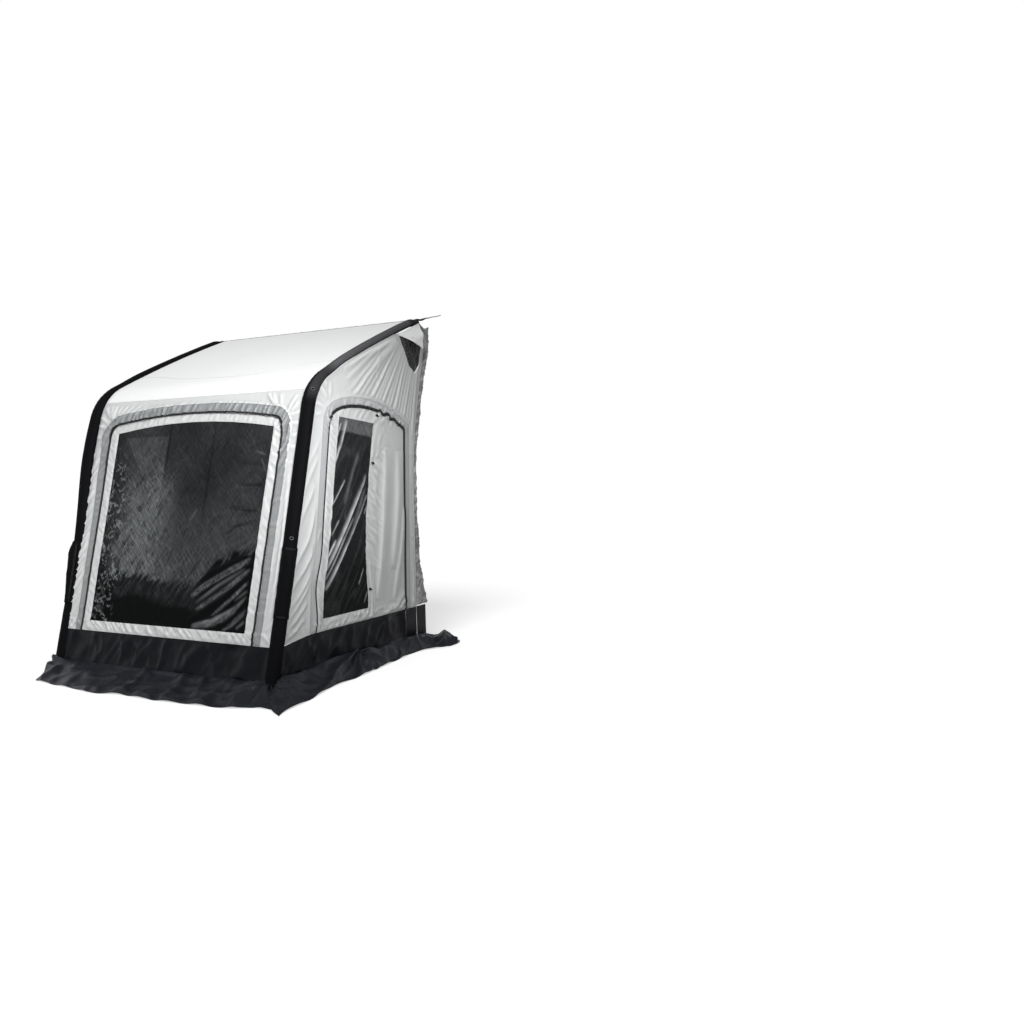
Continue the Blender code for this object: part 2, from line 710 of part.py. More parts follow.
def valve(side):
    matrix = facet_matrix(side, leg_point(VALVE_HEIGHT), LEG_AXIS)
    seat = GAP
    top = seat + VALVE_FLANGE_THICKNESS
    neck = top + VALVE_NECK_HEIGHT
    foot = -(SLEEVE_WALL + BLADDER_WALL + GAP * 2)
    profile = [
        (VALVE_BORE_RADIUS, neck), (VALVE_STEM_RADIUS, neck), (VALVE_STEM_RADIUS, top),
        (VALVE_FLANGE_RADIUS, top), (VALVE_FLANGE_RADIUS, seat), (VALVE_STEM_RADIUS, seat),
        (VALVE_STEM_RADIUS, foot), (VALVE_BORE_RADIUS, foot),
    ]
    turned("valve_body_" + side, profile, matrix, BLACK_PLASTIC, closed=True)
    bore = VALVE_STEM_RADIUS + GAP
    outer = bore + CAP_WALL
    roof = neck + GAP
    profile = [
        (0.0, roof + CAP_TOP), (outer, roof + CAP_TOP), (outer, top + GAP), (bore, top + GAP),
        (bore, roof), (0.0, roof),
    ]
    turned("valve_cap_" + side, profile, matrix, BLACK_PLASTIC)


def valve_cover(side):
    """Flap over the valve. It wraps the sleeve at its edges and stands proud over the valve."""
    out = diagonal(side)
    across = LEG_AXIS.cross(out)
    top = leg_point(COVER_HIGH)
    hinge = Vector((SIDES[side] * HALF_SPACING, top.x, top.y)) + out * (BEAM_RADIUS + GAP * 2)
    length = (COVER_HIGH - COVER_LOW) / math.cos(LEG_LEAN)
    seat = BEAM_RADIUS + GAP * 2 + CLOTH

    skew = math.log(0.5) / math.log(COVER_PEAK_SHARE)

    def place(share, down):
        angle = COVER_HALF_ANGLE * (2 * share - 1)
        rise = math.sin(math.pi * down**skew)
        radius = seat + COVER_BULGE * math.cos(angle * math.pi / (2 * COVER_HALF_ANGLE)) ** 2 * rise
        ahead = radius * math.cos(angle) - BEAM_RADIUS - GAP * 2
        return Vector((radius * math.sin(angle), -length * down, ahead))

    cover = grid_sheet("valve_cover_" + side, COVER_COLUMNS, COVER_ROWS, place, SLEEVE_CLOTH)
    cover.matrix_basis = axes_matrix(across, LEG_AXIS, out, hinge)
    solidify(cover, CLOTH)


def eyelets(side):
    for level, matrix in eyelet_matrices(side).items():
        foot = -(SLEEVE_WALL - GAP)
        top = GAP + EYELET_THICKNESS
        profile = [
            (EYELET_HOLE, top), (EYELET_RADIUS, top), (EYELET_RADIUS, GAP), (EYELET_BARREL, GAP),
            (EYELET_BARREL, foot), (EYELET_HOLE, foot),
        ]
        turned("sleeve_eyelet_" + level + "_" + side, profile, matrix, DARK_METAL, closed=True)


# Roof and front


def cloth_half():
    """Half width of the cloth between the beams."""
    return HALF_SPACING - SEAT_ACROSS


def roof():
    line = cloth_line()
    low = distance_at_height(line, FRONT_TOP_HEIGHT) + GAP
    right = cloth_edge(low, lengths_along(line)[-1])
    outline = right + [(-x, mark) for x, mark in reversed(right)]
    bent_sheet("roof_panel", [outline], line, CLOTH, ROOF_CLOTH)


def keder():
    """Bead that slides into the caravan's rail, with its loose ends past the beams."""
    end = cloth_line(-CLOTH / 2, BEAD_RADIUS + GAP)[-1]
    curve = bpy.data.curves.new("keder_bead", "CURVE")
    curve.dimensions = "3D"
    curve.bevel_depth = BEAD_RADIUS
    curve.bevel_resolution = 2
    curve.use_fill_caps = True
    places = [
        (-BEAD_LEFT_REACH, -BEAD_DROOP), (-(BEAD_LEFT_REACH + SIDE_X) / 2, -BEAD_DROOP / 3), (-SIDE_X, 0.0),
        (SIDE_X, 0.0), ((BEAD_RIGHT_REACH + SIDE_X) / 2, BEAD_DROOP / 3), (BEAD_RIGHT_REACH, BEAD_DROOP),
    ]
    spline = curve.splines.new("POLY")
    spline.points.add(len(places) - 1)
    for point, (x, lift) in zip(spline.points, places):
        point.co = (x, end.x, end.y + lift, 1.0)
    add("keder_bead", curve, TRIM_CLOTH)


def front_path(foot_height):
    """Middle of the front zip: up the left leg, over the crown and down the right leg."""
    shoulder, corner, crown, foot = (
        up_slope(h) for h in (FRONT_ZIP_SHOULDER, FRONT_ZIP_CORNER, FRONT_ZIP_CROWN, foot_height)
    )
    lean = (FRONT_ZIP_FOOT_INSET - FRONT_ZIP_TOP_INSET) / (shoulder - up_slope(FRONT_SKIRT_HEIGHT))
    top = cloth_half() - FRONT_ZIP_TOP_INSET
    foot_half = top - lean * (shoulder - foot)
    inner = top - FRONT_CORNER_INSET
    rise = corner - shoulder
    left = [Vector((-foot_half, foot))]
    left += bezier(
        Vector((-top, shoulder)), Vector((-top, shoulder + rise * CORNER_RISE_SHARE)),
        Vector((-inner - FRONT_CORNER_INSET * CORNER_REACH_SHARE, corner - rise * CORNER_DIP_SHARE)),
        Vector((-inner, corner)), CORNER_STEPS,
    )
    for i in range(1, ARCH_STEPS // 2 + 1):
        x = -inner * (1 - 2 * i / ARCH_STEPS)
        left.append(Vector((x, crown - (crown - corner) * (x / inner) ** 2)))
    return left + [Vector((-p.x, p.y)) for p in reversed(left[:-1])]


def front_window_outline(inset):
    low, corner, crown = (up_slope(h) for h in (FRONT_WINDOW_FOOT, FRONT_WINDOW_CORNER, FRONT_WINDOW_CROWN))
    low += inset
    corner -= inset
    crown -= inset
    foot = cloth_half() - FRONT_ZIP_FOOT_INSET - FRONT_WINDOW_FOOT_BORDER - inset
    top = cloth_half() - FRONT_ZIP_TOP_INSET - FRONT_WINDOW_TOP_BORDER - inset
    outline = [(foot, low), (top, corner)]
    for i in range(1, ARCH_STEPS):
        x = top * (1 - 2 * i / ARCH_STEPS)
        outline.append((x, crown - (crown - corner) * (x / top) ** 2))
    return outline + [(-top, corner), (-foot, low)]


def front():
    line = cloth_line()
    low = up_slope(FRONT_SKIRT_HEIGHT) + GAP
    path = front_path(FRONT_SKIRT_HEIGHT)
    opening = offset_path(path, SURROUND_EDGE + GAP)
    opening = at_height(at_height(opening, 0, low), -1, low)
    right = cloth_edge(low, distance_at_height(line, FRONT_TOP_HEIGHT))
    wall = opening + right + [(-x, mark) for x, mark in reversed(right)]
    bent_sheet("front_wall", [wall], line, CLOTH, WALL_CLOTH)

    outer = at_height(at_height(offset_path(path, SURROUND_EDGE), 0, low), -1, low)
    inner = at_height(at_height(offset_path(path, ZIP_SEAT), 0, low), -1, low)
    bent_sheet("front_surround", [inner + outer[::-1]], line, CLOTH, TRIM_CLOTH)

    outer = at_height(at_height(offset_path(path, ZIP_WIDTH / 2), 0, low), -1, low)
    inner = at_height(at_height(offset_path(path, -ZIP_WIDTH / 2), 0, low), -1, low)
    matrix = front_matrix(SEAT_ALONG, ZIP_THICKNESS)
    plate("front_zip", [inner + outer[::-1]], ZIP_THICKNESS, matrix, ZIP_TAPE)

    edge = at_height(at_height(offset_path(path, -ZIP_SEAT), 0, low), -1, low)
    hinge = Vector((0.0, low))
    moved = [p - hinge for p in edge]
    hole = [(x, y - low) for x, y in front_window_outline(0.0)]
    film = [(x, y - low) for x, y in front_window_outline(GAP)]
    place = front_matrix(SEAT_ALONG, CLOTH) @ Matrix.Translation((0.0, low, 0.0))
    plate("front_panel", [moved, hole], CLOTH, place, WALL_CLOTH)
    plate("front_window", [film], FILM, place, CLEAR_FILM)


def slider(name, matrix):
    """Zip slider with its puller. Its Z stands out of the cloth and its Y runs up the zip."""
    w, h = SLIDER_WIDTH / 2, SLIDER_LENGTH / 2
    body = [(-w, h), (-w, 0.0), (-w / 2, -h), (w / 2, -h), (w, 0.0), (w, h)]
    block = mesh_of(add(name, plate_curve(name, [body], SLIDER_THICKNESS), DARK_METAL))
    block.materials.clear()
    p = PULLER_WIDTH / 2
    tip = -h - PULLER_LENGTH
    tab = [(-p, 0.0), (-p, tip + p), (-p / 2, tip), (p / 2, tip), (p, tip + p), (p, 0.0)]
    pull = mesh_of(add(name + "_puller", plate_curve(name, [tab], PULLER_THICKNESS), DARK_METAL))
    lift = Matrix.Translation((0.0, 0.0, SLIDER_THICKNESS / 2 + GAP))
    obj = add(name, block, DARK_METAL, matrix @ lift)
    raised = Matrix.Translation((0.0, 0.0, PULLER_THICKNESS / 2))
    boolean(obj, add(name + "_puller", pull, None, matrix @ lift @ raised, cutter=True), "UNION")
    return obj


def leg_frame(base, start, end):
    """Matrix on a plate's plane whose Y runs from start to end, with its origin at end."""
    run = (end - start).normalized()
    turn = Matrix(((run.y, run.x, 0.0), (-run.x, run.y, 0.0), (0.0, 0.0, 1.0))).to_4x4()
    return base @ Matrix.Translation((end.x, end.y, 0.0)) @ turn


def front_sliders():
    path = front_path(FRONT_SKIRT_HEIGHT)
    base = front_matrix(SEAT_ALONG, 0.0)
    for side, foot, top in (("left", path[0], path[1]), ("right", path[-1], path[-2])):
        matrix = leg_frame(base, foot, top) @ Matrix.Translation((0.0, -SLIDER_REST, 0.0))
        slider("front_slider_" + side, matrix)


# Side walls and doors


def door_path(front_foot, rear_foot):
    """Middle of the door zip: up the front leg, over the arch and down the rear leg."""
    front_top = Vector((DOOR_FRONT_TOP_Y, DOOR_FRONT_TOP_Z))
    rear_top = Vector((DOOR_REAR_TOP_Y, DOOR_REAR_TOP_Z))
    path = [Vector((DOOR_FRONT_FOOT_Y, SIDE_SKIRT_HEIGHT))]
    path += bezier(
        front_top, front_top + Vector((DOOR_ARCH_FRONT_PULL_Y, DOOR_ARCH_FRONT_PULL_Z)),
        rear_top + Vector((-DOOR_ARCH_REAR_PULL_Y, DOOR_ARCH_REAR_PULL_Z)), rear_top, ARCH_STEPS + 2,
    )
    path.append(Vector((DOOR_REAR_FOOT_Y, SIDE_SKIRT_HEIGHT)))
    return at_height(at_height(path, 0, front_foot), -1, rear_foot)


def door_window_outline(inset):
    front_foot = Vector((DOOR_WINDOW_FRONT_FOOT_Y, DOOR_WINDOW_FOOT))
    front_top = Vector((DOOR_WINDOW_FRONT_TOP_Y, DOOR_WINDOW_FRONT_TOP_Z))
    rear_top = Vector((DOOR_WINDOW_REAR_TOP_Y, DOOR_WINDOW_REAR_TOP_Z))
    rear_foot = Vector((DOOR_WINDOW_REAR_FOOT_Y, DOOR_WINDOW_FOOT))
    middle = (rear_top + rear_foot) / 2 - Vector((DOOR_WINDOW_HOLLOW, 0.0))
    corners = [front_foot, front_top, rear_top, middle, rear_foot]
    loop = offset_path(corners[-1:] + corners + corners[:1], -inset)
    return loop[1:-1]


def rear_seam():
    """Seam between a side wall and its padded edge, from the foot to the top."""
    points = [Vector((REAR_FOOT_Y, SIDE_SKIRT_HEIGHT)), Vector((REAR_MIDDLE_Y, PAD_FACE_LOW))]
    points.append(Vector((REAR_MIDDLE_Y, PAD_FACE_HIGH)))
    top = point_on_line_at(wall_line(), REAR_TOP_Y)
    for height, back, _ in REAR_SEAM_SHARES:
        points.append(points[2] + Vector(((top.x - REAR_MIDDLE_Y) * back, (top.y - PAD_FACE_HIGH) * height)))
    return points


def vent_corners():
    """Outline of the vent's opening, from its front corner under the beam, to the rear and down."""
    line = wall_line(VENT_MARGIN)
    front, rear = (point_on_line_at(line, y) for y in (VENT_FRONT_Y, VENT_REAR_Y))
    lower = [Vector((VENT_FRONT_Y + VENT_WIDTH * a, rear.y - VENT_DEPTH * d)) for a, d in VENT_SHARES]
    return [front, rear] + lower


def point_on_line_at(line, y):
    """Point of the line at a distance y behind the feet."""
    for a, b in zip(line, line[1:]):
        if a.x <= y <= b.x:
            return a + (b - a) * ((y - a.x) / (b.x - a.x))
    return line[-1]


def side_wall(side):
    matrix = side_matrix(side, SIDE_X, CLOTH)
    low = SIDE_SKIRT_HEIGHT + GAP
    beam = at_height(wall_line()[:-1], 0, FRONT_SKIRT_HEIGHT + GAP)
    path = door_path(low, low)
    opening = offset_path(path, SURROUND_EDGE + GAP)
    opening = at_height(at_height(opening, 0, low), -1, low)
    seam = rear_seam()
    seam[0].y = low
    outline = opening + seam + beam[::-1]
    vent = vent_corners()
    plate("side_wall_" + side, [outline, vent], CLOTH, matrix, WALL_CLOTH)
    net = offset_path([vent[-1]] + vent + [vent[0]], -GAP)[1:-1]
    plate("vent_net_" + side, [net], CLOTH, matrix, VENT_NET)

    outer = at_height(at_height(offset_path(path, SURROUND_EDGE), 0, low), -1, low)
    inner = at_height(at_height(offset_path(path, ZIP_SEAT), 0, low), -1, low)
    plate("door_surround_" + side, [inner + outer[::-1]], CLOTH, matrix, TRIM_CLOTH)

    ground = DOOR_ZIP_GROUND_CLEARANCE
    long_path = door_path(low, ground)
    outer = at_height(at_height(offset_path(long_path, ZIP_WIDTH / 2), 0, low), -1, ground)
    inner = at_height(at_height(offset_path(long_path, -ZIP_WIDTH / 2), 0, low), -1, ground)
    zip_matrix = side_matrix(side, SIDE_X, ZIP_THICKNESS)
    plate("door_zip_" + side, [inner + outer[::-1]], ZIP_THICKNESS, zip_matrix, ZIP_TAPE)


def door(side):
    """Door panel with its window. Its origin is at the foot of its front edge, on the outer face."""
    low = SIDE_SKIRT_HEIGHT + GAP
    path = door_path(low, low)
    edge = at_height(at_height(offset_path(path, -ZIP_SEAT), 0, low), -1, low)
    hinge = edge[0].copy()
    panel = [p - hinge for p in edge]
    hole = [p - hinge for p in door_window_outline(0.0)]
    film = [p - hinge for p in door_window_outline(GAP)]
    origin = Matrix.Translation((0.0, hinge.x, hinge.y))
    plate("door_panel_" + side, [panel, hole], CLOTH, origin @ side_matrix(side, SIDE_X, CLOTH), WALL_CLOTH)
    plate("door_window_" + side, [film], FILM, origin @ side_matrix(side, SIDE_X, CLOTH), CLEAR_FILM)

    base = side_matrix(side, SIDE_X, 0.0)
    if side == "left":
        flip = Matrix(((1, 0, 0, 0), (0, -1, 0, 0), (0, 0, -1, 0), (0, 0, 0, 1)))
        foot, top = (Vector((p.x, -p.y)) for p in (path[-1], path[-2]))
        matrix = leg_frame(base @ flip, foot, top)
    else:
        matrix = leg_frame(base, path[-1], path[-2])
    slider("door_slider_" + side, matrix @ Matrix.Translation((0.0, -SLIDER_REST, 0.0)))


def rear_edge(side):
    """Padded edge that presses on the caravan, and the piece of skirt under it."""
    seam = rear_seam()
    low = SIDE_SKIRT_HEIGHT + GAP
    seam[0].y = low
    widths = [PAD_FOOT_WIDTH, PAD_MIDDLE_WIDTH, PAD_MIDDLE_WIDTH]
    for _, _, widening in REAR_SEAM_SHARES:
        widths.append(PAD_MIDDLE_WIDTH + (PAD_TOP_WIDTH - PAD_MIDDLE_WIDTH) * widening)
    inner = [p + Vector((GAP, 0.0)) for p in seam]
    outer = [p + Vector((GAP + w, 0.0)) for p, w in zip(seam, widths)]
    outer[-1].y -= PAD_TOP_DROP
    swell = outer[1].lerp(outer[0], PAD_SWELL_SHARE)
    swell.y = low + (PAD_FACE_LOW - low) * PAD_SWELL_HEIGHT_SHARE
    notch = (inner[-1] + outer[-1]) / 2 - Vector((0.0, PAD_NOTCH))
    outline = inner + [notch] + outer[:0:-1] + [swell, outer[0]]
    matrix = side_matrix(side, SIDE_X, PAD_THICKNESS)
    plate("rear_pad_" + side, [outline], PAD_THICKNESS, matrix, PAD_CLOTH)

    path = door_path(low, DOOR_ZIP_GROUND_CLEARANCE)
    front = offset_path(path, ZIP_SEAT)
    foot, top = front[-1], at_height(front, -1, SIDE_SKIRT_HEIGHT)[-1]
    rear = REAR_FOOT_Y + REAR_SKIRT_WIDTH
    outline = [Vector((foot.x, 0.0)), Vector((rear, 0.0)), Vector((rear, SIDE_SKIRT_HEIGHT)), top]
    plate("rear_skirt_" + side, [outline], CLOTH, side_matrix(side, SIDE_X, CLOTH), SKIRT_CLOTH)


def vent_hood(side):
    """Rain hood over the vent, hinged along the beam, with the tie that hangs from its free edge."""
    line = wall_line(HOOD_DROP)
    sign = SIDES[side]
    front = point_on_line_at(line, HOOD_FRONT_Y)
    rear = point_on_line_at(line, HOOD_REAR_Y)
    origin = Vector((sign * (SIDE_X + GAP), front.x, front.y))
    along = Vector((0.0, rear.x - front.x, rear.y - front.y)).normalized()
    length = (rear - front).length
    down = Vector((0.0, along.z, -along.y))
    down = down * math.cos(HOOD_TILT) + Vector((sign * math.sin(HOOD_TILT), 0.0, 0.0))
    out = down.cross(along) * sign
    lift = Matrix.Translation((0.0, 0.0, HOOD_THICKNESS / 2))
    matrix = axes_matrix(along, down * -sign, out, origin) @ lift
    outline = [(length * a, -sign * HOOD_DEPTH * d) for a, d in HOOD_SHARES]
    plate("vent_hood_" + side, [outline], HOOD_THICKNESS, matrix, ROOF_CLOTH)

    w = TIE_WIDTH / 2
    x, y = outline[-1][0], outline[-1][1] + sign * TIE_OVERLAP
    tip = y - sign * TIE_LENGTH
    tie = [(x - w, y), (x + w, y), (x + w, tip), (x - w, tip)]
    under = Matrix.Translation((0.0, 0.0, -(HOOD_THICKNESS + GAP)))
    plate("vent_tie_" + side, [tie], HOOD_THICKNESS, matrix @ under, SLEEVE_CLOTH)


# Skirts and ground flap


def skirt_wave(share, folds):
    """How far the foot of a skirt stands out, from 0 to SKIRT_WAVE, and 0 at both ends."""
    share = min(max(share, 0.0), 1.0)
    return SKIRT_WAVE * math.sin(math.pi * folds * share) ** 2


def front_skirt_foot(share):
    """Point on the seam between the front skirt and its flap."""
    out = SEAT_ALONG + skirt_wave(share, FRONT_SKIRT_FOLDS)
    point = LEG_AXIS * up_slope(FRONT_SEAM_HEIGHT) + LEG_FACE * out
    return Vector((cloth_half() * (2 * share - 1), point.y, point.z))


def front_skirt():
    top = LEG_AXIS * up_slope(FRONT_SKIRT_HEIGHT) + LEG_FACE * SEAT_ALONG

    def place(share, down):
        foot = front_skirt_foot(share)
        return Vector((foot.x, top.y, top.z)).lerp(foot, down)

    columns = FRONT_SKIRT_FOLDS * SKIRT_COLUMNS_PER_FOLD
    solidify(grid_sheet("front_skirt", columns, SKIRT_ROWS, place, SKIRT_CLOTH), CLOTH)


def side_seam_height(y):
    rise = read_shares(SIDE_SEAM_SHARES, min(max(y, 0.0) / FLAP_TAIL_Y, 1.0))
    return CORNER_SEAM_HEIGHT + (SIDE_SEAM_HEIGHT - CORNER_SEAM_HEIGHT) * rise


def side_skirt_ends():
    """Lines of the skirt's front edge, along the beam, and of its rear edge, along the door's zip."""
    front = beam_line(-SEAT_ACROSS)[:2]
    rear = offset_path(door_path(SIDE_SKIRT_HEIGHT, DOOR_ZIP_GROUND_CLEARANCE), -ZIP_SEAT)[-2:]
    return front, rear


def side_skirt_foot(side, share):
    """Point on the seam between a side skirt and its flap."""
    front, rear = side_skirt_ends()
    start = at_height(front, 0, CORNER_SEAM_HEIGHT)[0]
    start = at_height(front, 0, side_seam_height(start.x))[0]
    end = at_height(rear, -1, side_seam_height(rear[-1].x))[-1]
    y = start.x + (end.x - start.x) * share
    out = SIDE_X + skirt_wave(share, SIDE_SKIRT_FOLDS)
    return Vector((SIDES[side] * out, y, side_seam_height(y)))


def side_skirt(side):
    sign = SIDES[side]
    front, rear = side_skirt_ends()
    start = at_height(front, 0, FRONT_SKIRT_HEIGHT)[0]
    end = at_height(rear, -1, SIDE_SKIRT_HEIGHT)[-1]
    door_edge = offset_path(door_path(SIDE_SKIRT_HEIGHT, SIDE_SKIRT_HEIGHT), SURROUND_EDGE + GAP)[0].x

    def place(share, down):
        y = start.x + (end.x - start.x) * share
        rise = min((y - start.x) / (door_edge - start.x), 1.0)
        top = Vector((sign * SIDE_X, y, start.y + (end.y - start.y) * rise))
        return top.lerp(side_skirt_foot(side, share), down)

    columns = SIDE_SKIRT_FOLDS * SKIRT_COLUMNS_PER_FOLD
    sheet = grid_sheet("side_skirt_" + side, columns, SKIRT_ROWS, place, SKIRT_CLOTH)
    if sheet.data.polygons[0].normal.x * sign < 0:
        sheet.data.flip_normals()
    solidify(sheet, CLOTH)


def ground_flap(name, columns, inner, outer, fold):
    """Sheet from a seam to the ground. Its folds rise off the ground and its edge touches it."""

    def place(share, out):
        a, b = inner(share), outer(share)
        point = a.lerp(b, out)
        point.z = a.z * (1 - out) ** FLAP_DROP_POWER + fold(share, out)
        return point

    obj = grid_sheet(name, columns, FLAP_ROWS, place, SKIRT_CLOTH)
    bm = bmesh.new()
    bm.from_mesh(obj.data)
    if sum(face.normal.z for face in bm.faces) < 0:
        bmesh.ops.reverse_faces(bm, faces=bm.faces[:])
    top = bm.faces[:]
    copied = bmesh.ops.duplicate(bm, geom=bm.verts[:] + bm.edges[:] + top)
    below = [item for item in copied["geom"] if isinstance(item, bmesh.types.BMFace)]
    rims = [e for e in bm.edges if e.is_boundary]
    bmesh.ops.reverse_faces(bm, faces=below)
    bmesh.ops.translate(bm, verts=list({v for f in top for v in f.verts}), vec=(0.0, 0.0, CLOTH))
    bmesh.ops.bridge_loops(bm, edges=rims)
    bmesh.ops.recalc_face_normals(bm, faces=bm.faces[:])
    bm.to_mesh(obj.data)
    bm.free()
    return obj


def fold_height(folds, share, out):
    """Height of a flap's folds over the ground, which sink again towards its edge."""
    ridge = math.sin(math.pi * folds * share) ** 2
    return FLAP_FOLD * ridge * out**FOLD_POWER * (1 - FOLD_LOSS_SHARE * out)


def front_flap():
    turn = CORNER_OUT * math.sin(math.pi / 4)
    half = HALF_SPACING + turn
    under = SEAM_GAP + CLOTH

    def inner(share):
        crowded = share - CORNER_CROWDING_SHARE * math.sin(2 * math.pi * share) / (2 * math.pi)
        x = half * (2 * crowded - 1)
        near = blend((abs(x) - (cloth_half() - CORNER_STEP_OUT)) / CORNER_STEP_OUT)
        seam = front_skirt_foot(min(max((x / cloth_half() + 1) / 2, 0.0), 1.0))
        past = max(abs(x) - HALF_SPACING, 0.0)
        beam = leg_point(CORNER_SEAM_HEIGHT).x - math.sqrt(CORNER_OUT**2 - past**2)
        y = seam.y + (beam - seam.y) * near
        z = seam.z + (CORNER_SEAM_HEIGHT - seam.z) * near
        return Vector((x, y, z - under))

    def outer(share):
        x = -FRONT_CORNER_LEFT_X + (FRONT_CORNER_LEFT_X + SIDE_X + FLAP_SIDE_REACH) * share
        return Vector((x, -FLAP_FRONT_REACH * read_shares(FRONT_REACH_SHARES, share), 0.0))

    def fold(share, out):
        return fold_height(FRONT_FLAP_FOLDS, share, out)

    ground_flap("front_flap", FRONT_FLAP_COLUMNS, inner, outer, fold)


def side_flap(side):
    sign = SIDES[side]
    shares = RIGHT_REACH_SHARES if side == "right" else LEFT_REACH_SHARES
    front_y = RIGHT_FLAP_FRONT_Y if side == "right" else LEFT_FLAP_FRONT_Y
    beam_y = leg_point(CORNER_SEAM_HEIGHT).x
    rear_y = REAR_FOOT_Y + REAR_SKIRT_WIDTH
    start, end = side_skirt_foot(side, 0.0).y, side_skirt_foot(side, 1.0).y
    under = SEAM_GAP + CLOTH

    def inner(share):
        y = beam_y + (rear_y - beam_y) * share
        past = blend((y - beam_y - CORNER_OUT) / CORNER_STEP_OUT)
        wave = skirt_wave((y - start) / (end - start), SIDE_SKIRT_FOLDS)
        beam = HALF_SPACING + CORNER_OUT
        return Vector((sign * (beam + (SIDE_X + wave + GAP - beam) * past), y, side_seam_height(y) - under))

    def outer(share):
        reach = FLAP_SIDE_REACH * read_shares(shares, share)
        return Vector((sign * (SIDE_X + reach), front_y + (FLAP_TAIL_Y - front_y) * share, 0.0))

    def fold(share, out):
        ridge = math.sin(math.pi * SIDE_FLAP_FOLDS * share) ** 2
        piled = blend((share - PILE_START_SHARE) / PILE_BLEND_SHARE)
        pile = TAIL_PILE * math.sin(math.pi * out) * (PILE_LOW_SHARE + (1 - PILE_LOW_SHARE) * ridge)
        return fold_height(SIDE_FLAP_FOLDS, share, out) * (1 - piled) + pile * piled

    ground_flap("side_flap_" + side, SIDE_FLAP_COLUMNS, inner, outer, fold)


def peg_loop(side):
    """Webbing loop at a beam's foot, which takes a peg."""
    sign = SIDES[side]
    foot = FOOT_RADIUS / math.cos(LEG_LEAN) + GAP
    angle = -math.pi / 4 if side == "right" else -3 * math.pi / 4
    half = LOOP_WIDTH / 2
    c = LOOP_CORNER
    outline = [
        (foot, -half), (foot + LOOP_LENGTH - c, -half), (foot + LOOP_LENGTH, -half + c),
        (foot + LOOP_LENGTH, half - c), (foot + LOOP_LENGTH - c, half), (foot, half),
    ]
    start, end, w = foot + LOOP_BAND * 2, foot + LOOP_LENGTH - LOOP_BAND, half - LOOP_BAND
    slot = [(start, -w), (end, -w), (end, w), (start, w)]
    lift = LOOP_LIFT + LOOP_THICKNESS / 2
    place = Matrix.Translation((sign * HALF_SPACING, leg_point(lift).x, lift))
    matrix = place @ Matrix.Rotation(angle, 4, "Z")
    plate("peg_loop_" + side, [outline, slot], LOOP_THICKNESS, matrix, SLEEVE_CLOTH)


roof()
keder()
front()
front_sliders()
front_skirt()
front_flap()
for each in SIDES:
    air_beam(each)
    beam_ends(each)
    valve(each)
    valve_cover(each)
    eyelets(each)
    side_wall(each)
    door(each)
    rear_edge(each)
    vent_hood(each)
    side_skirt(each)
    side_flap(each)
    peg_loop(each)
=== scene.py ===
"""Cloth, films, trims, fittings and studio of an inflatable porch awning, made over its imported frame."""
import functools
import json
import math

import bmesh
import bpy
import numpy as np
from mathutils import Matrix, Vector


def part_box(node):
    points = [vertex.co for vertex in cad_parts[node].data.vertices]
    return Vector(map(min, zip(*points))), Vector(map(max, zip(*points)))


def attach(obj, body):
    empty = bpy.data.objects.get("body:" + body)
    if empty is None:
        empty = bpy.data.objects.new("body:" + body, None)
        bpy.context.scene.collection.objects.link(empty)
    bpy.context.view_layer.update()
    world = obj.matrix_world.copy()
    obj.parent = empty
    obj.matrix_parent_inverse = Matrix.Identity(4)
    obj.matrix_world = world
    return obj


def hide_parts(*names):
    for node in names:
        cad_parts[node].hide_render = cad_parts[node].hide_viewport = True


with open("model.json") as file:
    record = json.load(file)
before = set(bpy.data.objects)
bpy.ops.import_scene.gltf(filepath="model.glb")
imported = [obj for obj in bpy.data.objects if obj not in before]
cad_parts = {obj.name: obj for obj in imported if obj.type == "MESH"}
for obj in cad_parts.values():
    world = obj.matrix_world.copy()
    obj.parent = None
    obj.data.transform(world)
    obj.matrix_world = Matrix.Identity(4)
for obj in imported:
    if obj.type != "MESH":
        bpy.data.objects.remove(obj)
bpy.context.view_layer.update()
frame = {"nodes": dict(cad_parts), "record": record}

bl_info = {
    "name": "Inflatable Porch Awning",
    "version": (1, 0, 0),
    "blender": (4, 5, 0),
    "location": "3D View > Sidebar > Awning",
    "description": "Makes the cloth, films, trims and studio of a porch awning over its frame",
    "category": "Add Mesh",
}

NODES = frame["nodes"]
BODY_OF = {n: body for body, ns in frame["record"]["behaviour"]["bodies"].items() for n in ns}
SLOT_OF = {row["node"]: row["material_slot"] for row in frame["record"]["subparts"]}
SIDES = {"left": -1, "right": 1}

# Sizes that the frame was made with, in metres and radians
BEAM_RADIUS = 0.04
ROOF_BEAM_RADIUS = 0.0275
BEAM_TIP_RADIUS = 0.012
BEAM_X = 0.98
LEG_LEAN = math.radians(14.36)
LEG_HEIGHT = 1.745
SHOULDER_RADIUS = 0.335
SHOULDER_SLOPE = math.radians(25.5)
SHOULDER_BENDS = 6
ROOF_SLOPE = math.radians(19.5)
ROOF_LENGTH = 1.107
ROOF_BENDS = 4
TAPER_START = 3
FRONT_Y = -0.71598
WALL_FOOT = 0.2723
DOOR_FOOT = 0.302
BEAD_HEIGHT = 2.4127
UP = (0.0, 0.0, 1.0)
LEG_AXIS = Vector((0.0, math.sin(LEG_LEAN), math.cos(LEG_LEAN)))
LEG_FACE = Vector((0.0, -math.cos(LEG_LEAN), math.sin(LEG_LEAN)))

# How much steeper one flank of a fold is than the other
FOLD_LEAN = 0.45

# The worn sleeves are wider than deep, and the left beam bows out and ahead, as photographed
SLEEVE_SPREAD = 1.19
BOW_OUT = 0.040
BOW_AHEAD = 0.022

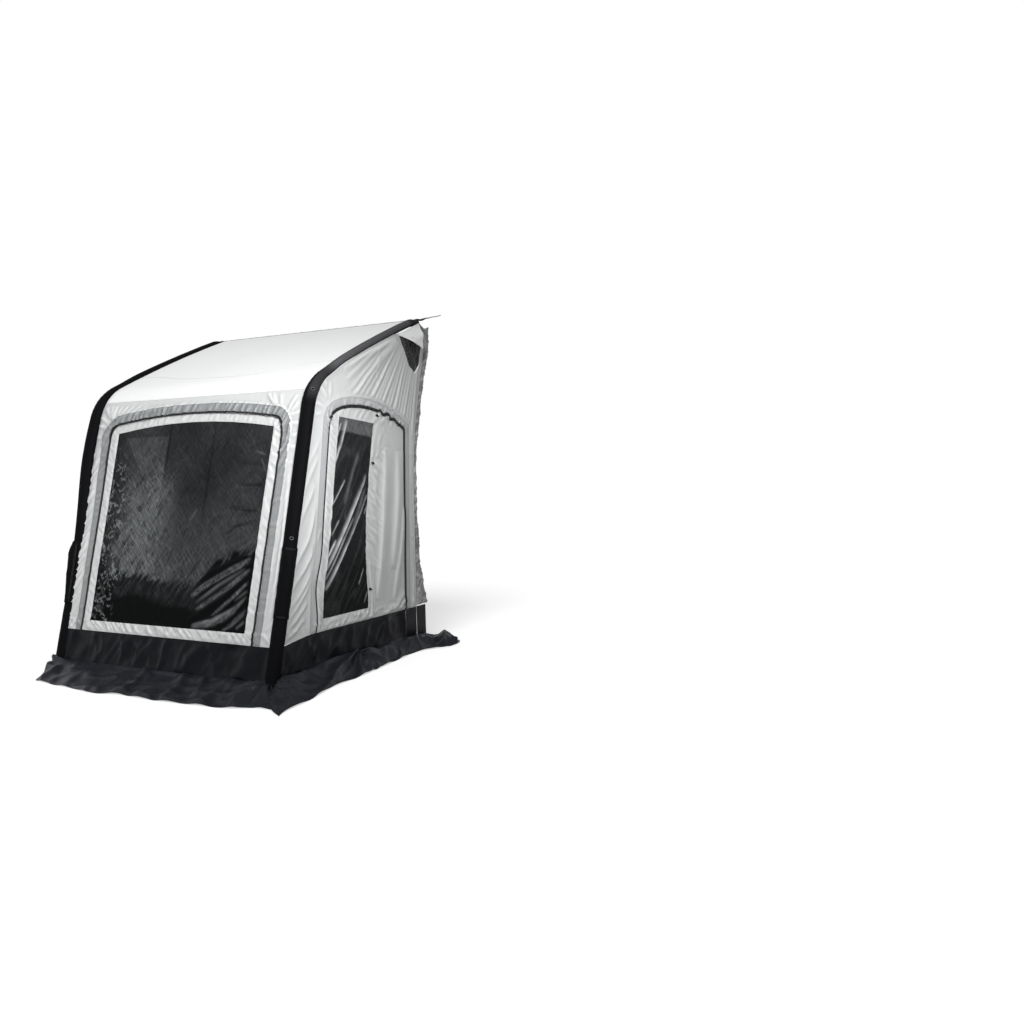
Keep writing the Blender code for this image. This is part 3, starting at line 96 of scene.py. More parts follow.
# The camera that the photo was taken with
CAMERA_PLACE = (5.052861, -4.977637, 1.407307)
CAMERA_YAW = math.radians(-29.11456)
CAMERA_PITCH = math.radians(-3.50347)
CAMERA_ROLL = math.radians(-1.67652)
CAMERA_FOCAL_SHARE = 959.7122 / 1024

# Points of a CAD mesh closer than this are one point
WELD = 0.00002


# Numbers over a surface


def fade(distance, reach):
    """Smooth step from 0 at no distance to 1 at the reach."""
    t = np.clip(distance / reach, 0.0, 1.0)
    return t * t * (3.0 - 2.0 * t)


def bell(distance, width):
    """1 at no distance, and almost 0 past twice the width."""
    return np.exp(-((distance / width) ** 2))


def crests(phase, sharp):
    """Row of rounded crests, one for each whole step of the phase."""
    return (0.5 + 0.5 * np.cos(2.0 * np.pi * phase)) ** sharp


def soft_noise(u, v, size, seed):
    """Smooth noise from -1 to 1, with forms of about that size."""
    grid = np.random.default_rng(seed).uniform(-1.0, 1.0, (128, 128))
    x, y = u / size, v / size
    i, j = np.floor(x).astype(int), np.floor(y).astype(int)
    s, t = x - i, y - j
    s, t = s * s * (3.0 - 2.0 * s), t * t * (3.0 - 2.0 * t)
    i, j, k, m = i % 128, j % 128, (i + 1) % 128, (j + 1) % 128
    low = grid[i, j] * (1.0 - s) + grid[k, j] * s
    return low * (1.0 - t) + (grid[i, m] * (1.0 - s) + grid[k, m] * s) * t


def creased(u, v, size, seed):
    """Noise with sharp ridges, from 0 to 1, as in crumpled film."""
    fine = 1.0 - np.abs(soft_noise(u, v, size, seed)) * 2.2
    coarse = 1.0 - np.abs(soft_noise(u, v, size * 2.3, seed + 1)) * 2.0
    return np.clip(0.55 * fine + 0.45 * coarse, 0.0, 1.0)


def gathers(across, along, size, seed):
    """Irregular ridges, close together one way and long the other, from 0 to 1."""
    sway = 0.5 * soft_noise(across, along, size * 2.4, seed + 5)
    ridges = 1.0 - np.abs(soft_noise(across / size + sway, along / (size * 5.0), 1.0, seed)) * 2.0
    fine = 1.0 - np.abs(soft_noise(across / size * 2.1, along / (size * 6.0), 1.0, seed + 2)) * 2.0
    return np.clip(0.7 * ridges + 0.3 * fine, 0.0, 1.0) ** 1.3


def along_path(u, v, path):
    """Distance to a path, above 0 on its left, the run to the nearest point, and the path's length."""
    best = np.full(np.shape(u), 1e9)
    signed, run, start = np.zeros_like(best), np.zeros_like(best), 0.0
    for (ua, va), (ub, vb) in zip(path, path[1:]):
        du, dv = ub - ua, vb - va
        length = math.hypot(du, dv)
        t = np.clip(((u - ua) * du + (v - va) * dv) / length**2, 0.0, 1.0)
        x, y = u - ua - t * du, v - va - t * dv
        distance = np.hypot(x, y)
        closer = distance < best
        best = np.where(closer, distance, best)
        signed = np.where(closer, np.where(du * y - dv * x >= 0.0, distance, -distance), signed)
        run = np.where(closer, start + t * length, run)
        start += length
    return signed, run, start


def run_along(points):
    """Distance from the first point to each, along a line of points."""
    return np.concatenate([[0.0], np.cumsum(np.linalg.norm(np.diff(points, axis=0), axis=1))])


def fold(u, v, path, width, height):
    """One fold along a path. It dies out at both ends, and one flank is steeper."""
    signed, run, total = along_path(u, v, path)
    flank = width * np.where(signed > 0.0, 1.0 + FOLD_LEAN, 1.0 - FOLD_LEAN)
    share = run / total
    taper = np.clip(4.0 * share * (1.0 - share), 0.0, 1.0) ** 0.5
    return height * taper * bell(signed, flank)


def folds(u, v, table):
    """Sum of folds. Each row is width, height and the path's points."""
    total = np.zeros(np.shape(u))
    for width, height, *path in table:
        total += fold(u, v, path, width, height)
    return total


# The awning's lines


def beam_corners():
    """Corners (y, z) of the beams' middle line, and the radius at each."""
    start = math.pi / 2 - LEG_LEAN
    shoulder_turn = (start - SHOULDER_SLOPE) / SHOULDER_BENDS
    roof_turn = (SHOULDER_SLOPE - ROOF_SLOPE) / ROOF_BENDS
    touch = SHOULDER_RADIUS * math.tan(shoulder_turn / 2)
    span = ROOF_LENGTH / ROOF_BENDS
    lengths = [LEG_HEIGHT / math.cos(LEG_LEAN) + touch] + [2 * touch] * (SHOULDER_BENDS - 1)
    lengths += [touch + span / 2] + [span] * (ROOF_BENDS - 1) + [span / 2]
    turns = [shoulder_turn] * SHOULDER_BENDS + [roof_turn] * ROOF_BENDS + [0.0]
    points, slope = [(FRONT_Y, 0.0)], start
    for length, turn in zip(lengths, turns):
        y, z = points[-1]
        points.append((y + math.cos(slope) * length, z + math.sin(slope) * length))
        slope -= turn
    steps = SHOULDER_BENDS + 1 - TAPER_START
    narrowing = BEAM_RADIUS - ROOF_BEAM_RADIUS
    radii = [BEAM_RADIUS] * TAPER_START + [BEAM_RADIUS - narrowing * i / steps for i in range(steps + 1)]
    radii += [ROOF_BEAM_RADIUS] * (ROOF_BENDS - 1) + [BEAM_TIP_RADIUS]
    return np.array(points), np.array(radii)


def bow_share(side, z):
    """From 0 to 1, how much a beam bows out at a height. Only the left one does, as photographed."""
    return (side == "left") * bell(np.asarray(z) - 1.50, 0.45)


class RoundedLine:
    """A line of corners (y, z) whose corners are arcs that touch its straight runs."""

    def __init__(self, corners, step=0.002):
        corners = np.asarray(corners, float)
        runs = np.diff(corners, axis=0)
        lengths = np.hypot(runs[:, 0], runs[:, 1])
        self.marks = np.concatenate([[0.0], np.cumsum(lengths)])
        self.s = np.linspace(0.0, self.marks[-1], int(self.marks[-1] / step) + 2)
        points = np.stack([np.interp(self.s, self.marks, corners[:, i]) for i in (0, 1)], 1)
        for i in range(1, len(corners) - 1):
            reach = min(lengths[i - 1], lengths[i]) / 2
            near = np.abs(self.s - self.marks[i]) < reach
            w = ((self.s[near] - self.marks[i]) / reach + 1.0)[:, None] / 2
            a = corners[i] - runs[i - 1] / lengths[i - 1] * reach
            b = corners[i] + runs[i] / lengths[i] * reach
            points[near] = (1 - w) ** 2 * a + 2 * w * (1 - w) * corners[i] + w**2 * b
        self.points = points
        heading = np.gradient(points, axis=0)
        heading /= np.hypot(heading[:, 0], heading[:, 1])[:, None]
        self.normals = np.stack([-heading[:, 1], heading[:, 0]], 1)

    def at(self, s, lift=0.0):
        """Points (y, z) at distances along the line, moved outwards by lift."""
        found = []
        for i in (0, 1):
            place = np.interp(s, self.s, self.points[:, i])
            found.append(place + lift * np.interp(s, self.s, self.normals[:, i]))
        return found


def merged(mesh):
    """Copy of a CAD mesh's loose triangles, with their points merged."""
    bm = bmesh.new()
    bm.from_mesh(mesh)
    bmesh.ops.remove_doubles(bm, verts=bm.verts[:], dist=WELD)
    return bm


def mesh_from(bm, name):
    """New mesh from a bmesh, which is then let go."""
    mesh = bpy.data.meshes.new(name)
    bm.to_mesh(mesh)
    bm.free()
    return mesh


def dissolve_flat(bm, angle=0.01):
    """Joins faces that lie flat with each other."""
    bmesh.ops.dissolve_limit(bm, angle_limit=angle, verts=bm.verts[:], edges=bm.edges[:])


def crisp_border(bm):
    for edge in bm.edges:
        edge.smooth = not edge.is_boundary


def outer_faces(mesh, facing, least=0.55):
    """Merged copy of a CAD mesh with only the faces that look one way."""
    bm = merged(mesh)
    facing = Vector(facing).normalized()
    drop = [f for f in bm.faces if f.normal.dot(facing) < least]
    bmesh.ops.delete(bm, geom=drop, context="FACES")
    loose = [v for v in bm.verts if not v.link_faces]
    bmesh.ops.delete(bm, geom=loose, context="VERTS")
    return bm


class FrontChart:
    """Front and roof laid flat: u across the awning, v up along the cloth from its foot."""

    facing = (0.0, -0.7, 0.7)

    def __init__(self):
        found = []
        for node in ("front_wall", "roof_panel"):
            bm = outer_faces(NODES[node].data, self.facing)
            found += [(v.co.z, v.co.y) for v in bm.verts]
            bm.free()
        found = sorted(set((round(z, 5), round(y, 5)) for z, y in found))
        line = [found[0]]
        for z, y in found[1:-1]:
            if math.hypot(z - line[-1][0], y - line[-1][1]) > 0.003:
                line.append((z, y))
        line.append(found[-1])
        corners = [line[0]]
        for before, here, after in zip(line, line[1:], line[2:]):
            turn = math.atan2(after[0] - here[0], after[1] - here[1])
            turn -= math.atan2(here[0] - before[0], here[1] - before[1])
            if abs(turn) > 0.012:
                corners.append(here)
        corners.append(line[-1])
        self.line = RoundedLine([(y, z) for z, y in corners])
        self.heights = np.array([z for z, y in corners])
        self.length = self.line.marks[-1]

    def up(self, z):
        """Distance up the cloth at a height."""
        return np.interp(z, self.heights, self.line.marks)

    def flatten(self, co):
        return co.x, float(self.up(co.z))

    def place(self, u, v, lift):
        share = bow_share("left", self.line.at(v)[1])
        y, z = self.line.at(v, lift - 0.010 * share * fade(-u - 0.90, 0.04))
        return np.stack([u - BOW_OUT * share * fade(-u - 0.80, 0.145), y, z], 1)


class SideChart:
    """A side wall: u towards the rear, v up."""

    def __init__(self, side):
        self.side, self.sign = side, SIDES[side]
        self.facing = (self.sign, 0.0, 0.0)
        low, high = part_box("side_wall_" + side)
        self.plane = max(abs(low.x), abs(high.x))

    def flatten(self, co):
        return co.y, co.z

    def place(self, u, v, lift):
        # The wall's edge follows its beam, which stands proud along the roof and bows out on the left
        line = RoundedLine(beam_corners()[0], 0.02)
        nearest = np.full(len(u), 1e9)
        toward = np.zeros((len(u), 2))
        for y, z in line.points:
            away = np.hypot(u - y, v - z)
            closer = away < nearest
            nearest = np.where(closer, away, nearest)
            toward[closer] = np.stack([y - u[closer], z - v[closer]], 1)
        share = bow_share(self.side, v) * fade(0.15 - nearest, 0.11)
        run = fade(u + 0.80, 0.25) * fade(0.74 - u, 0.10)
        ahead = BOW_AHEAD * share + 0.014 * fade(0.13 - nearest, 0.07) * run
        step = toward / np.maximum(nearest, 0.001)[:, None] * ahead[:, None]
        x = self.sign * (self.plane + lift + 0.6 * BOW_OUT * share)
        return np.stack([x, u + step[:, 0], v + step[:, 1]], 1)


def flat_faces(node, chart):
    """Outer face of a CAD sheet, laid flat in its chart with its inner edges dissolved."""
    bm = outer_faces(NODES[node].data, chart.facing)
    for vert in bm.verts:
        vert.co = (*chart.flatten(vert.co), 0.0)
    dissolve_flat(bm)
    return bm


def border(bm):
    return [(e.verts[0].co.xy.copy(), e.verts[1].co.xy.copy()) for e in bm.edges if e.is_boundary]


def outline(node, chart):
    """Longest loop of a flat sheet's border, as (u, v) points in order and anticlockwise."""
    bm = flat_faces(node, chart)
    left = {e for e in bm.edges if e.is_boundary}
    loops = []
    while left:
        edge = min(left, key=lambda e: e.index)
        left.discard(edge)
        loop = [edge.verts[0], edge.verts[1]]
        while loop[-1] is not loop[0]:
            edge = next((e for e in loop[-1].link_edges if e in left), None)
            if edge is None:
                break
            left.discard(edge)
            loop.append(edge.other_vert(loop[-1]))
        loops.append([(v.co.x, v.co.y) for v in loop])
    bm.free()
    loop = max(loops, key=lambda p: sum(math.dist(a, b) for a, b in zip(p, p[1:])))
    area = sum(a[0] * b[1] - b[0] * a[1] for a, b in zip(loop, loop[1:]))
    return loop if area > 0 else loop[::-1]


def cut_across(bm, axis, low, high, count, snap):
    """Cuts all faces at even places between low and high along an axis."""
    normal = [0.0, 0.0, 0.0]
    normal[axis] = 1.0
    for i in range(1, count):
        place = [0.0, 0.0, 0.0]
        place[axis] = low + (high - low) * i / count
        cut = bm.verts[:] + bm.edges[:] + bm.faces[:]
        bmesh.ops.bisect_plane(bm, geom=cut, plane_co=place, plane_no=normal, dist=snap)


def grid_cut(bm, pitch):
    """Cuts flat faces into cells of about the pitch, and leaves their border as it is."""
    for axis in (0, 1):
        places = [v.co[axis] for v in bm.verts]
        low, high = min(places), max(places)
        cut_across(bm, axis, low, high, max(int(round((high - low) / pitch)), 1), pitch * 0.08)


def border_distance(u, v, segments):
    best = np.full(u.shape, 1e9)
    for ends in segments:
        best = np.minimum(best, np.abs(along_path(u, v, ends)[0]))
    return best


def strip_size(area, edge):
    """Width and length of a straight strip with that area and that length of border."""
    half = edge / 4
    spare = math.sqrt(max(half * half - area, 0.0))
    return half - spare, half + spare


# Objects


def link(name, mesh):
    obj = bpy.data.objects.new(name, mesh)
    bpy.context.scene.collection.objects.link(obj)
    return obj


def shade_smooth(mesh):
    mesh.polygons.foreach_set("use_smooth", [True] * len(mesh.polygons))
    mesh.update()


def wear(obj, node, finish_name=None, body=None):
    """Rides and paints a piece as its CAD node says."""
    obj.data.materials.clear()
    obj.data.materials.append(finish(finish_name or SLOT_OF[node]))
    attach(obj, body or BODY_OF[node])
    return obj


def thicken(obj, thickness):
    """Gives a sheet its thickness, inwards from its outer face, with crisp rims."""
    walls = obj.modifiers.new("thickness", "SOLIDIFY")
    walls.thickness = thickness
    walls.offset = -1.0
    walls.use_even_offset = False
    return obj


def numbers_of(mesh):
    co = np.zeros(len(mesh.vertices) * 3)
    mesh.vertices.foreach_get("co", co)
    return co.reshape(-1, 3)


def write_numbers(mesh, name, values):
    layer = mesh.attributes.new(name, "FLOAT", "POINT")
    layer.data.foreach_set("value", np.asarray(values, np.float32))


def write_no_hem(mesh):
    """Puts every point far from a hem, so that no stitches show."""
    write_numbers(mesh, "hem", np.full(len(mesh.vertices), 1.0))


def write_cut_map(mesh, u, v):
    """UV map of the flat cloth, in metres."""
    layer = mesh.uv_layers.new(name="cut")
    corners = np.zeros(len(mesh.loops), int)
    mesh.loops.foreach_get("vertex_index", corners)
    layer.data.foreach_set("uv", np.stack([u[corners], v[corners]], 1).ravel())


def valley_shade(mesh, lift):
    """Share of painted shade, from 0 on a crest to 1 in a valley of the cloth, by how each point lies among
    its neighbours.
    """
    ends = np.zeros(len(mesh.edges) * 2, int)
    mesh.edges.foreach_get("vertices", ends)
    a, b = ends.reshape(-1, 2).T
    count = np.bincount(ends, minlength=len(lift))

    def mean(values):
        total = np.bincount(a, values[b], len(lift)) + np.bincount(b, values[a], len(lift))
        return total / np.maximum(count, 1)

    depth = mean(mean(lift)) - lift
    return 0.5 + 0.5 * np.clip(mean(depth) / 0.0011, -1.0, 1.0)


def lay_cloth(
    name, node, chart, field, pitch, thickness, paint=None, warp=None, finish_name=None,
):
    """New cloth or film over one CAD sheet: cut fine in the flat, then given its folds and put up."""
    bm = flat_faces(node, chart)
    segments = border(bm)
    area = sum(f.calc_area() for f in bm.faces)
    edge = sum((a - b).length for a, b in segments)
    grid_cut(bm, pitch)
    crisp_border(bm)
    mesh = mesh_from(bm, name)
    flat = numbers_of(mesh)
    u, v = flat[:, 0], flat[:, 1]
    lift = field(u, v)
    write_cut_map(mesh, u, v)
    write_numbers(mesh, "hem", border_distance(u, v, segments))
    # Painted shade: how deep each point lies in a valley, which darkens the cloth towards its valley colour
    write_numbers(mesh, "tone", valley_shade(mesh, lift))
    for label, tone in (paint or {}).items():
        write_numbers(mesh, label, tone(u, v))
    du, dv = warp(u, v) if warp else (0.0, 0.0)
    mesh.vertices.foreach_set("co", chart.place(u + du, v + dv, lift).ravel())
    shade_smooth(mesh)
    obj = wear(thicken(link(name, mesh), thickness), node, finish_name)
    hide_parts(node)
    width, length = np.ptp(u), np.ptp(v)
    if area < 0.5 * width * length:
        width, length = strip_size(area, edge)
    return obj


def tube(name, points, radii, sides, relief=None, reference=(1.0, 0.0, 0.0), closed_ends=True, tone=None):
    """Tube along a line of points: a grid wrapped round it, with relief as a share of the radius."""
    points = np.asarray(points, float)
    bm = bmesh.new()
    bmesh.ops.create_grid(bm, x_segments=len(points) - 1, y_segments=sides, size=0.5)
    mesh = mesh_from(bm, name)
    grid = numbers_of(mesh)
    along, around = grid[:, 0] + 0.5, grid[:, 1] + 0.5
    place = along * (len(points) - 1)
    heading = np.gradient(points, axis=0)
    heading /= np.linalg.norm(heading, axis=1)[:, None]
    across = np.cross(heading, np.cross(np.asarray(reference, float), heading))
    across /= np.linalg.norm(across, axis=1)[:, None]
    over = np.cross(heading, across)
    marks = np.arange(len(points))
    read = lambda rows: np.stack([np.interp(place, marks, rows[:, i]) for i in range(3)], 1)
    angle = 2.0 * np.pi * around
    radius = np.interp(place, marks, np.broadcast_to(radii, len(points)))
    if relief:
        radius = radius * (1.0 + relief(along, around % 1.0))
    spoke = read(across) * np.cos(angle)[:, None] + read(over) * np.sin(angle)[:, None]
    co = read(points) + spoke * radius[:, None]
    girth = 2.0 * np.pi * float(np.mean(radii))
    write_cut_map(mesh, around * girth, np.interp(place, marks, run_along(points)))
    mesh.vertices.foreach_set("co", co.ravel())
    write_no_hem(mesh)
    if tone:
        write_numbers(mesh, "tone", tone(along, around % 1.0))
    bm = bmesh.new()
    bm.from_mesh(mesh)
    bmesh.ops.remove_doubles(bm, verts=bm.verts[:], dist=0.00001)
    if closed_ends:
        bmesh.ops.holes_fill(bm, edges=[e for e in bm.edges if e.is_boundary], sides=sides + 1)
    bmesh.ops.recalc_face_normals(bm, faces=bm.faces[:])
    bm.to_mesh(mesh)
    bm.free()
    shade_smooth(mesh)
    return link(name, mesh)


def divided(bm, name, levels):
    """Smooth, finely divided mesh from a coarse bmesh, whose triangles are first joined to quads."""
    bmesh.ops.join_triangles(bm, faces=bm.faces[:], angle_face_threshold=1.2, angle_shape_threshold=2.5)
    mesh = mesh_from(bm, name)
    rough = link(name + "_rough", mesh)
    soft = rough.modifiers.new("divide", "SUBSURF")
    soft.levels = soft.render_levels = levels
    soft.boundary_smooth = "PRESERVE_CORNERS"
    made = evaluated_mesh(rough)
    bpy.data.objects.remove(rough)
    bpy.data.meshes.remove(mesh)
    made.name = name
    return made


def evaluated_mesh(obj):
    """New mesh of an object as its modifiers leave it."""
    graph = bpy.context.evaluated_depsgraph_get()
    return bpy.data.meshes.new_from_object(obj.evaluated_get(graph))


def finer_sheet(name, node, facing, chart_of, least):
    """Finely divided copy of one face of a curved CAD sheet, with its map and border distances."""
    made = divided(outer_faces(NODES[node].data, facing, least), name, 2)
    co = numbers_of(made)
    u, v = chart_of(co)
    write_cut_map(made, u, v)
    bm = bmesh.new()
    bm.from_mesh(made)
    ends = [(e.verts[0].co.copy(), e.verts[1].co.copy()) for e in bm.edges if e.is_boundary]
    crisp_border(bm)
    bm.to_mesh(made)
    bm.free()
    middles = np.array([(a + b) / 2 for a, b in ends])
    best = np.full(len(co), 1e9)
    for start in range(0, len(middles), 64):
        gap = co[:, None, :] - middles[None, start:start + 64, :]
        best = np.minimum(best, np.sqrt((gap**2).sum(2)).min(1))
    write_numbers(made, "hem", best)
    shade_smooth(made)
    return made, co, u, v, best


def vertex_normals(mesh):
    normals = np.zeros(len(mesh.vertices) * 3)
    mesh.vertices.foreach_get("normal", normals)
    return normals.reshape(-1, 3)


def mesh_area(mesh):
    return float(sum(p.area for p in mesh.polygons))


# Finishes


def socket(tree, name, kind, way):
    return tree.interface.new_socket(name=name, in_out=way, socket_type="NodeSocket" + kind)


def put(tree, kind, inputs=None, **settings):
    """Adds a shader node, sets it and joins its inputs."""
    made = tree.nodes.new("ShaderNode" + kind)
    for name, value in settings.items():
        setattr(made, name, value)
    for name, value in (inputs or {}).items():
        if isinstance(value, bpy.types.NodeSocket):
            tree.links.new(value, made.inputs[name])
        else:
            made.inputs[name].default_value = value
    return made


def maths(tree, operation, a, b=0.0, clamp=False):
    return put(tree, "Math", {0: a, 1: b}, operation=operation, use_clamp=clamp).outputs[0]


def mixed(tree, share, a, b):
    """Colour from a to b, by a share from 0 to 1."""
    return put(tree, "Mix", {"Factor": share, "A": a, "B": b}, data_type="RGBA").outputs["Result"]


def painted(tree, name):
    """Reads numbers that were painted on a mesh."""
    return put(tree, "Attribute", attribute_name=name).outputs["Fac"]


def cut_map(tree):
    return put(tree, "UVMap", uv_map="cut").outputs["UV"]


def solid_place(tree):
    return put(tree, "TexCoord").outputs["Object"]


def bumped(tree, shader, height):
    """Joins a height to a shader's normal."""
    bump = put(tree, "Bump", {"Height": height, "Distance": 1.0, "Strength": 1.0})
    tree.links.new(bump.outputs[0], shader.inputs["Normal"])


def group(name, inputs, outputs, build):
    """Shader group, made once. build gets the tree and its input sockets, and returns its results."""
    tree = bpy.data.node_groups.get(name)
    if tree:
        return tree
    tree = bpy.data.node_groups.new(name, "ShaderNodeTree")
    for label, kind in inputs:
        socket(tree, label, kind, "INPUT")
    for label, kind in outputs:
        socket(tree, label, kind, "OUTPUT")
    start = tree.nodes.new("NodeGroupInput")
    end = tree.nodes.new("NodeGroupOutput")
    for (label, kind), result in zip(outputs, build(tree, start.outputs)):
        tree.links.new(result, end.inputs[label])
    return tree


def weave_group():
    def build(tree, given):
        parts = put(tree, "SeparateXYZ", {0: given["Vector"]})
        waves = []
        for axis in (0, 1):
            phase = maths(tree, "MULTIPLY", parts.outputs[axis], given["Threads"])
            waves.append(maths(tree, "SINE", maths(tree, "MULTIPLY", phase, math.pi)))
        return [maths(tree, "MULTIPLY", waves[0], waves[1])]

    return group("Woven Threads", [("Vector", "Vector"), ("Threads", "Float")], [("Height", "Float")], build)


def crease_group():
    def build(tree, given):
        scale = maths(tree, "DIVIDE", 1.0, given["Size"])
        noise = put(tree, "TexNoise", {"Vector": given["Vector"], "Scale": scale, "Detail": given["Detail"]})
        away = maths(tree, "ABSOLUTE", maths(tree, "SUBTRACT", noise.outputs["Fac"], 0.5))
        ridges = maths(tree, "SUBTRACT", 1.0, maths(tree, "MULTIPLY", away, given["Sharpness"]), clamp=True)
        return [maths(tree, "MULTIPLY", ridges, given["Depth"]), maths(tree, "POWER", ridges, 3.0)]

    inputs = [("Vector", "Vector")] + [(label, "Float") for label in ("Size", "Depth", "Detail", "Sharpness")]
    return group("Fine Creases", inputs, [("Height", "Float"), ("Mask", "Float")], build)


def tone_group():
    def build(tree, given):
        scale = maths(tree, "DIVIDE", 1.0, given["Size"])
        noise = {"Vector": given["Vector"], "Scale": scale, "Detail": 4.0}
        cloud = put(tree, "TexNoise", noise).outputs["Fac"]
        change = maths(tree, "MULTIPLY", maths(tree, "SUBTRACT", cloud, 0.5), given["Amount"])
        value = maths(tree, "ADD", 1.0, change)
        return [put(tree, "HueSaturation", {"Color": given["Color"], "Value": value}).outputs[0]]

    inputs = [("Color", "Color"), ("Vector", "Vector"), ("Size", "Float"), ("Amount", "Float")]
    return group("Cloudy Tone", inputs, [("Color", "Color")], build)


def stitch_group():
    def build(tree, given):
        rows = []
        for share in (1.0, 2.2):
            inset = maths(tree, "MULTIPLY", given["Inset"], share)
            away = maths(tree, "ABSOLUTE", maths(tree, "SUBTRACT", given["Distance"], inset))
            near = maths(tree, "DIVIDE", away, given["Thread"])
            rows.append(maths(tree, "SUBTRACT", 1.0, near, clamp=True))
        row = maths(tree, "MAXIMUM", rows[0], rows[1])
        parts = put(tree, "SeparateXYZ", {0: given["Vector"]})
        run = maths(tree, "ADD", parts.outputs[0], parts.outputs[1])
        dash = maths(tree, "SINE", maths(tree, "MULTIPLY", run, 1400.0))
        dash = maths(tree, "MULTIPLY", maths(tree, "ADD", dash, 0.8), 2.0, clamp=True)
        return [maths(tree, "MULTIPLY", row, dash), maths(tree, "MULTIPLY", row, -0.0006)]

    inputs = [("Distance", "Float"), ("Vector", "Vector"), ("Inset", "Float"), ("Thread", "Float")]
    return group("Stitched Hem", inputs, [("Mask", "Float"), ("Height", "Float")], build)


def use(tree, made, inputs):
    """Places a shader group and joins its inputs."""
    return put(tree, "Group", inputs, node_tree=made)


def creases(tree, place, size, depth, detail=3.0, sharpness=6.0):
    values = {"Vector": place, "Size": size, "Depth": depth, "Detail": detail, "Sharpness": sharpness}
    return use(tree, crease_group(), values)


def new_finish(name):
    made = bpy.data.materials.new(name)
    made.use_nodes = True
    tree = made.node_tree
    return made, tree, tree.nodes["Principled BSDF"]


def rgb(value):
    return (value[0], value[1], value[2], 1.0)


def cloth_finish(
    name, colour, rough, specular, crease_size, crease_depth, tone, thread,
    threads=900.0, weave=0.00002, painted_light_colour=None,
):
    """Woven cloth with stitched hems. The painted light colour shows where the cloth's painted tone is high:
    painted shade in the valleys of walls and trims, painted highlights on the pad's crests and a painted
    sheen on the sleeves' roof run.
    """
    made, tree, shader = new_finish(name)
    place, solid = cut_map(tree), solid_place(tree)
    dyed = rgb(colour)
    if painted_light_colour:
        dyed = mixed(tree, painted(tree, "tone"), dyed, rgb(painted_light_colour))
    toned = use(tree, tone_group(), {"Color": dyed, "Vector": solid, "Size": 0.35, "Amount": tone})
    woven = use(tree, weave_group(), {"Vector": place, "Threads": threads})
    rumple = creases(tree, solid, crease_size, crease_depth)
    height = maths(tree, "ADD", maths(tree, "MULTIPLY", woven.outputs[0], weave), rumple.outputs["Height"])
    seam = {"Distance": painted(tree, "hem"), "Vector": place, "Inset": 0.005, "Thread": 0.0009}
    stitches = use(tree, stitch_group(), seam)
    final = mixed(tree, stitches.outputs["Mask"], toned.outputs[0], rgb(thread))
    tree.links.new(final, shader.inputs["Base Color"])
    bumped(tree, shader, maths(tree, "ADD", height, stitches.outputs["Height"]))
    shader.inputs["Roughness"].default_value = rough
    shader.inputs["Specular IOR Level"].default_value = specular
    return made


def film_finish(name, colour):
    """Dark glossy window film, greyer where its painted light (glow) stands for reflections and the lit
    inside seen through it, with painted white glints on its crests.
    """
    made, tree, shader = new_finish(name)
    height = creases(tree, solid_place(tree), 0.14, 0.0014, detail=2.0).outputs["Height"]
    flat, masks = cut_map(tree), []
    for slant, size in ((0.72, 0.028), (-0.62, 0.034)):
        turn = {"Vector": flat, "Rotation": (0.0, 0.0, slant), "Scale": (1.0, 6.0, 1.0)}
        turned = put(tree, "Mapping", turn, vector_type="TEXTURE").outputs[0]
        fine = creases(tree, turned, size, 0.0004, detail=1.0, sharpness=11.0)
        height = maths(tree, "ADD", height, fine.outputs["Height"])
        masks.append(fine.outputs["Mask"])
    glow = painted(tree, "glow")
    # Painted highlight and shade lines along the film's crinkles
    crinkle_light = maths(tree, "MULTIPLY", masks[0], 1.2)
    crinkle_light = maths(tree, "SUBTRACT", crinkle_light, maths(tree, "MULTIPLY", masks[1], 0.9))
    crinkle_light = maths(tree, "MULTIPLY", crinkle_light, painted(tree, "crinkle"))
    share = maths(tree, "MULTIPLY", glow, maths(tree, "ADD", 1.0, crinkle_light), clamp=True)
    dull = mixed(tree, share, rgb(colour), FILM_LIT_GREY)
    tree.links.new(mixed(tree, painted(tree, "streak"), dull, GLINT_WHITE), shader.inputs["Base Color"])
    bumped(tree, shader, height)
    # The film reflects more, and lets less through, where its painted light is high
    rough = maths(tree, "ADD", 0.08, maths(tree, "MULTIPLY", masks[0], 0.15))
    gloss = maths(tree, "ADD", 0.008, maths(tree, "MULTIPLY", glow, 0.28))
    clear = maths(tree, "SUBTRACT", 0.997, maths(tree, "MULTIPLY", glow, 0.03))
    for value, label in ((rough, "Roughness"), (gloss, "Specular IOR Level"), (clear, "Alpha")):
        tree.links.new(value, shader.inputs[label])
    return made


def net_finish(name, colour):
    """Fine insect net: threads with gaps between them, paler where painted light (its glow) lifts it out of
    the hood's shade.
    """
    made, tree, shader = new_finish(name)
    parts = put(tree, "SeparateXYZ", {0: cut_map(tree)})
    threads = []
    for axis in (0, 1):
        wave = maths(tree, "SINE", maths(tree, "MULTIPLY", parts.outputs[axis], 2400.0))
        threads.append(maths(tree, "GREATER_THAN", wave, -0.6))
    tree.links.new(maths(tree, "MAXIMUM", threads[0], threads[1]), shader.inputs["Alpha"])
    tree.links.new(mixed(tree, painted(tree, "glow"), rgb(colour), NET_LIT_GREY), shader.inputs["Base Color"])
    shader.inputs["Specular IOR Level"].default_value = 0.1
    shader.inputs["Roughness"].default_value = 0.7
    return made


